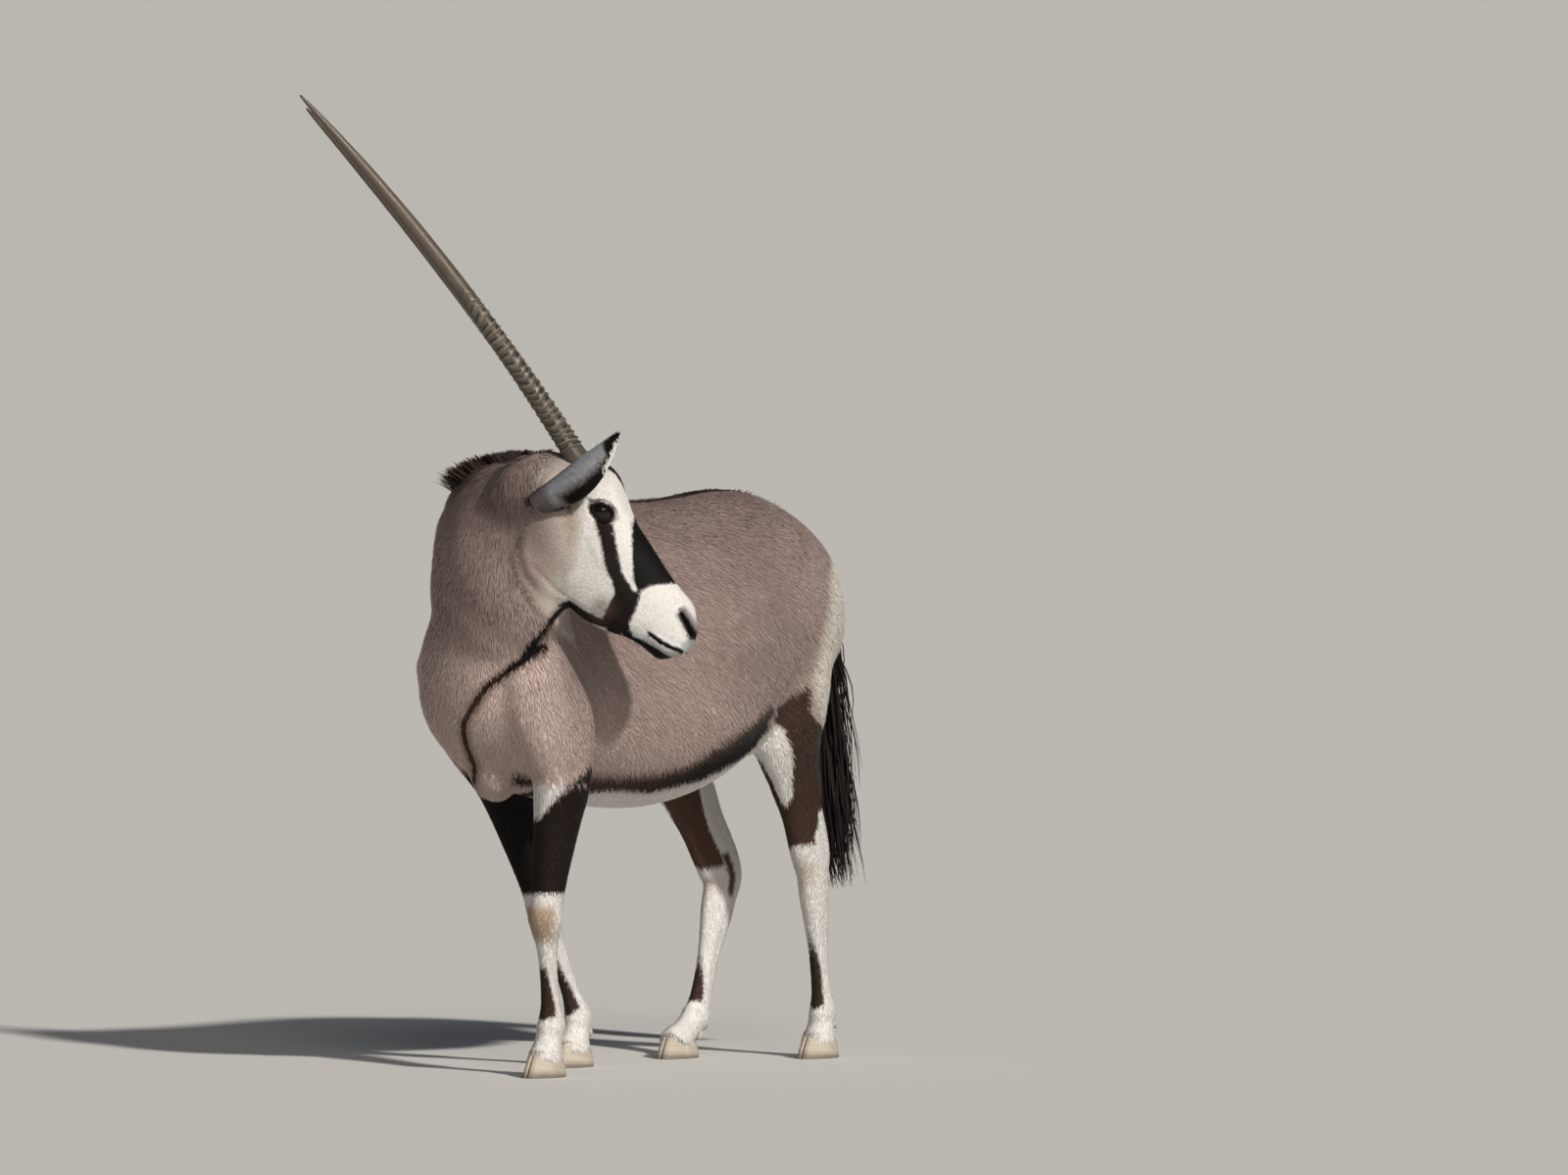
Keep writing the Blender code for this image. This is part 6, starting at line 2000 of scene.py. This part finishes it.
# ---------------------------------------------------------------- floor, light and camera
FLOOR_COLOUR, FILL, HAZE = (0.670, 0.655, 0.625), (0.075, 0.084, 0.100), (0.492, 0.468, 0.434)
FLOOR_REACH, FLOOR_CORNERS = 400, 48
LIGHT_COLOUR = (1.0, 0.955, 0.90)
# strength, turn about the upright, height above the level and spread, the last three in degrees
LAMPS = {"key": (3.4, 70.0, 33.0, 3.0), "glint": (0.45, 47.9, 32.2, 16.0)}
IMAGE_WIDTH, IMAGE_HEIGHT, FOCUS = 1600, 1199, 13333.0
SENSOR = 36.0
CAMERA_TURN, CAMERA_REACH, CAMERA_HEIGHT = 51.0, 26.14, 1.496
ORIGIN_PIXEL, LEVEL_PIXEL = 646.0, 325.0


def far_lamp(name, strength, turn, height, spread):
    """A lamp so far off that its rays are parallel. Its turn, its height and its spread are in degrees."""
    sun = bpy.data.lights.new(name, "SUN")
    sun.energy = strength
    sun.color = LIGHT_COLOUR
    sun.angle = math.radians(spread)
    turn, height = math.radians(turn), math.radians(height)
    way = Vector((math.cos(turn) * math.cos(height), math.sin(turn) * math.cos(height), math.sin(height)))
    in_scene(name, sun).rotation_euler = (-way).to_track_quat("-Z", "Y").to_euler()


def stage():
    """A wide pale floor with a haze of its own colour low round it, a warm key light and a weak fill."""
    turns = np.arange(FLOOR_CORNERS) * 2 * math.pi / FLOOR_CORNERS
    corners = [(FLOOR_REACH * math.cos(a), FLOOR_REACH * math.sin(a), 0) for a in turns]
    floor = mesh_object("floor", corners, [tuple(range(FLOOR_CORNERS))])
    made, tree, shader = material("floor", 0.95, specular_ior_level=0.0)
    linked(tree, shader.inputs["Base Color"], FLOOR_COLOUR)
    floor.data.materials.append(made)
    world = bpy.data.worlds.new("studio")
    world.use_nodes = True
    tree = world.node_tree
    way = node(tree, "ShaderNodeTexCoord").outputs["Generated"]
    height = node(tree, "ShaderNodeSeparateXYZ", {0: way}).outputs[2]
    sky = mixed(tree, ranged(tree, height, 0.04, 0.12), HAZE, FILL)
    linked(tree, tree.nodes["Background"].inputs["Color"], sky)
    bpy.context.scene.world = world
    bpy.context.scene.view_settings.view_transform = "Standard"
    for name, settings in LAMPS.items():
        far_lamp(name, *settings)


def camera():
    """The view from ahead on the animal's left, at the height of its back, through a long lens."""
    turn = math.radians(CAMERA_TURN)
    back = Vector((math.sin(turn), math.cos(turn), 0))
    right = Vector((-math.cos(turn), math.sin(turn), 0))
    yaw = math.atan((IMAGE_WIDTH / 2 - ORIGIN_PIXEL) / FOCUS)
    pitch = math.atan((IMAGE_HEIGHT / 2 - LEVEL_PIXEL) / FOCUS)
    ahead = (right * math.sin(yaw) - back * math.cos(yaw)) * math.cos(pitch) - Vector((0, 0, math.sin(pitch)))
    data = bpy.data.cameras.new("camera")
    data.sensor_width = SENSOR
    data.lens = FOCUS * SENSOR / IMAGE_WIDTH
    made = in_scene("camera", data)
    made.location = back * CAMERA_REACH + Vector((0, 0, CAMERA_HEIGHT)) + Vector((SHIFT.x, SHIFT.y, 0))
    made.rotation_euler = ahead.to_track_quat("-Z", "Y").to_euler()
    bpy.context.scene.camera = made


camera()
dressed()
stage()
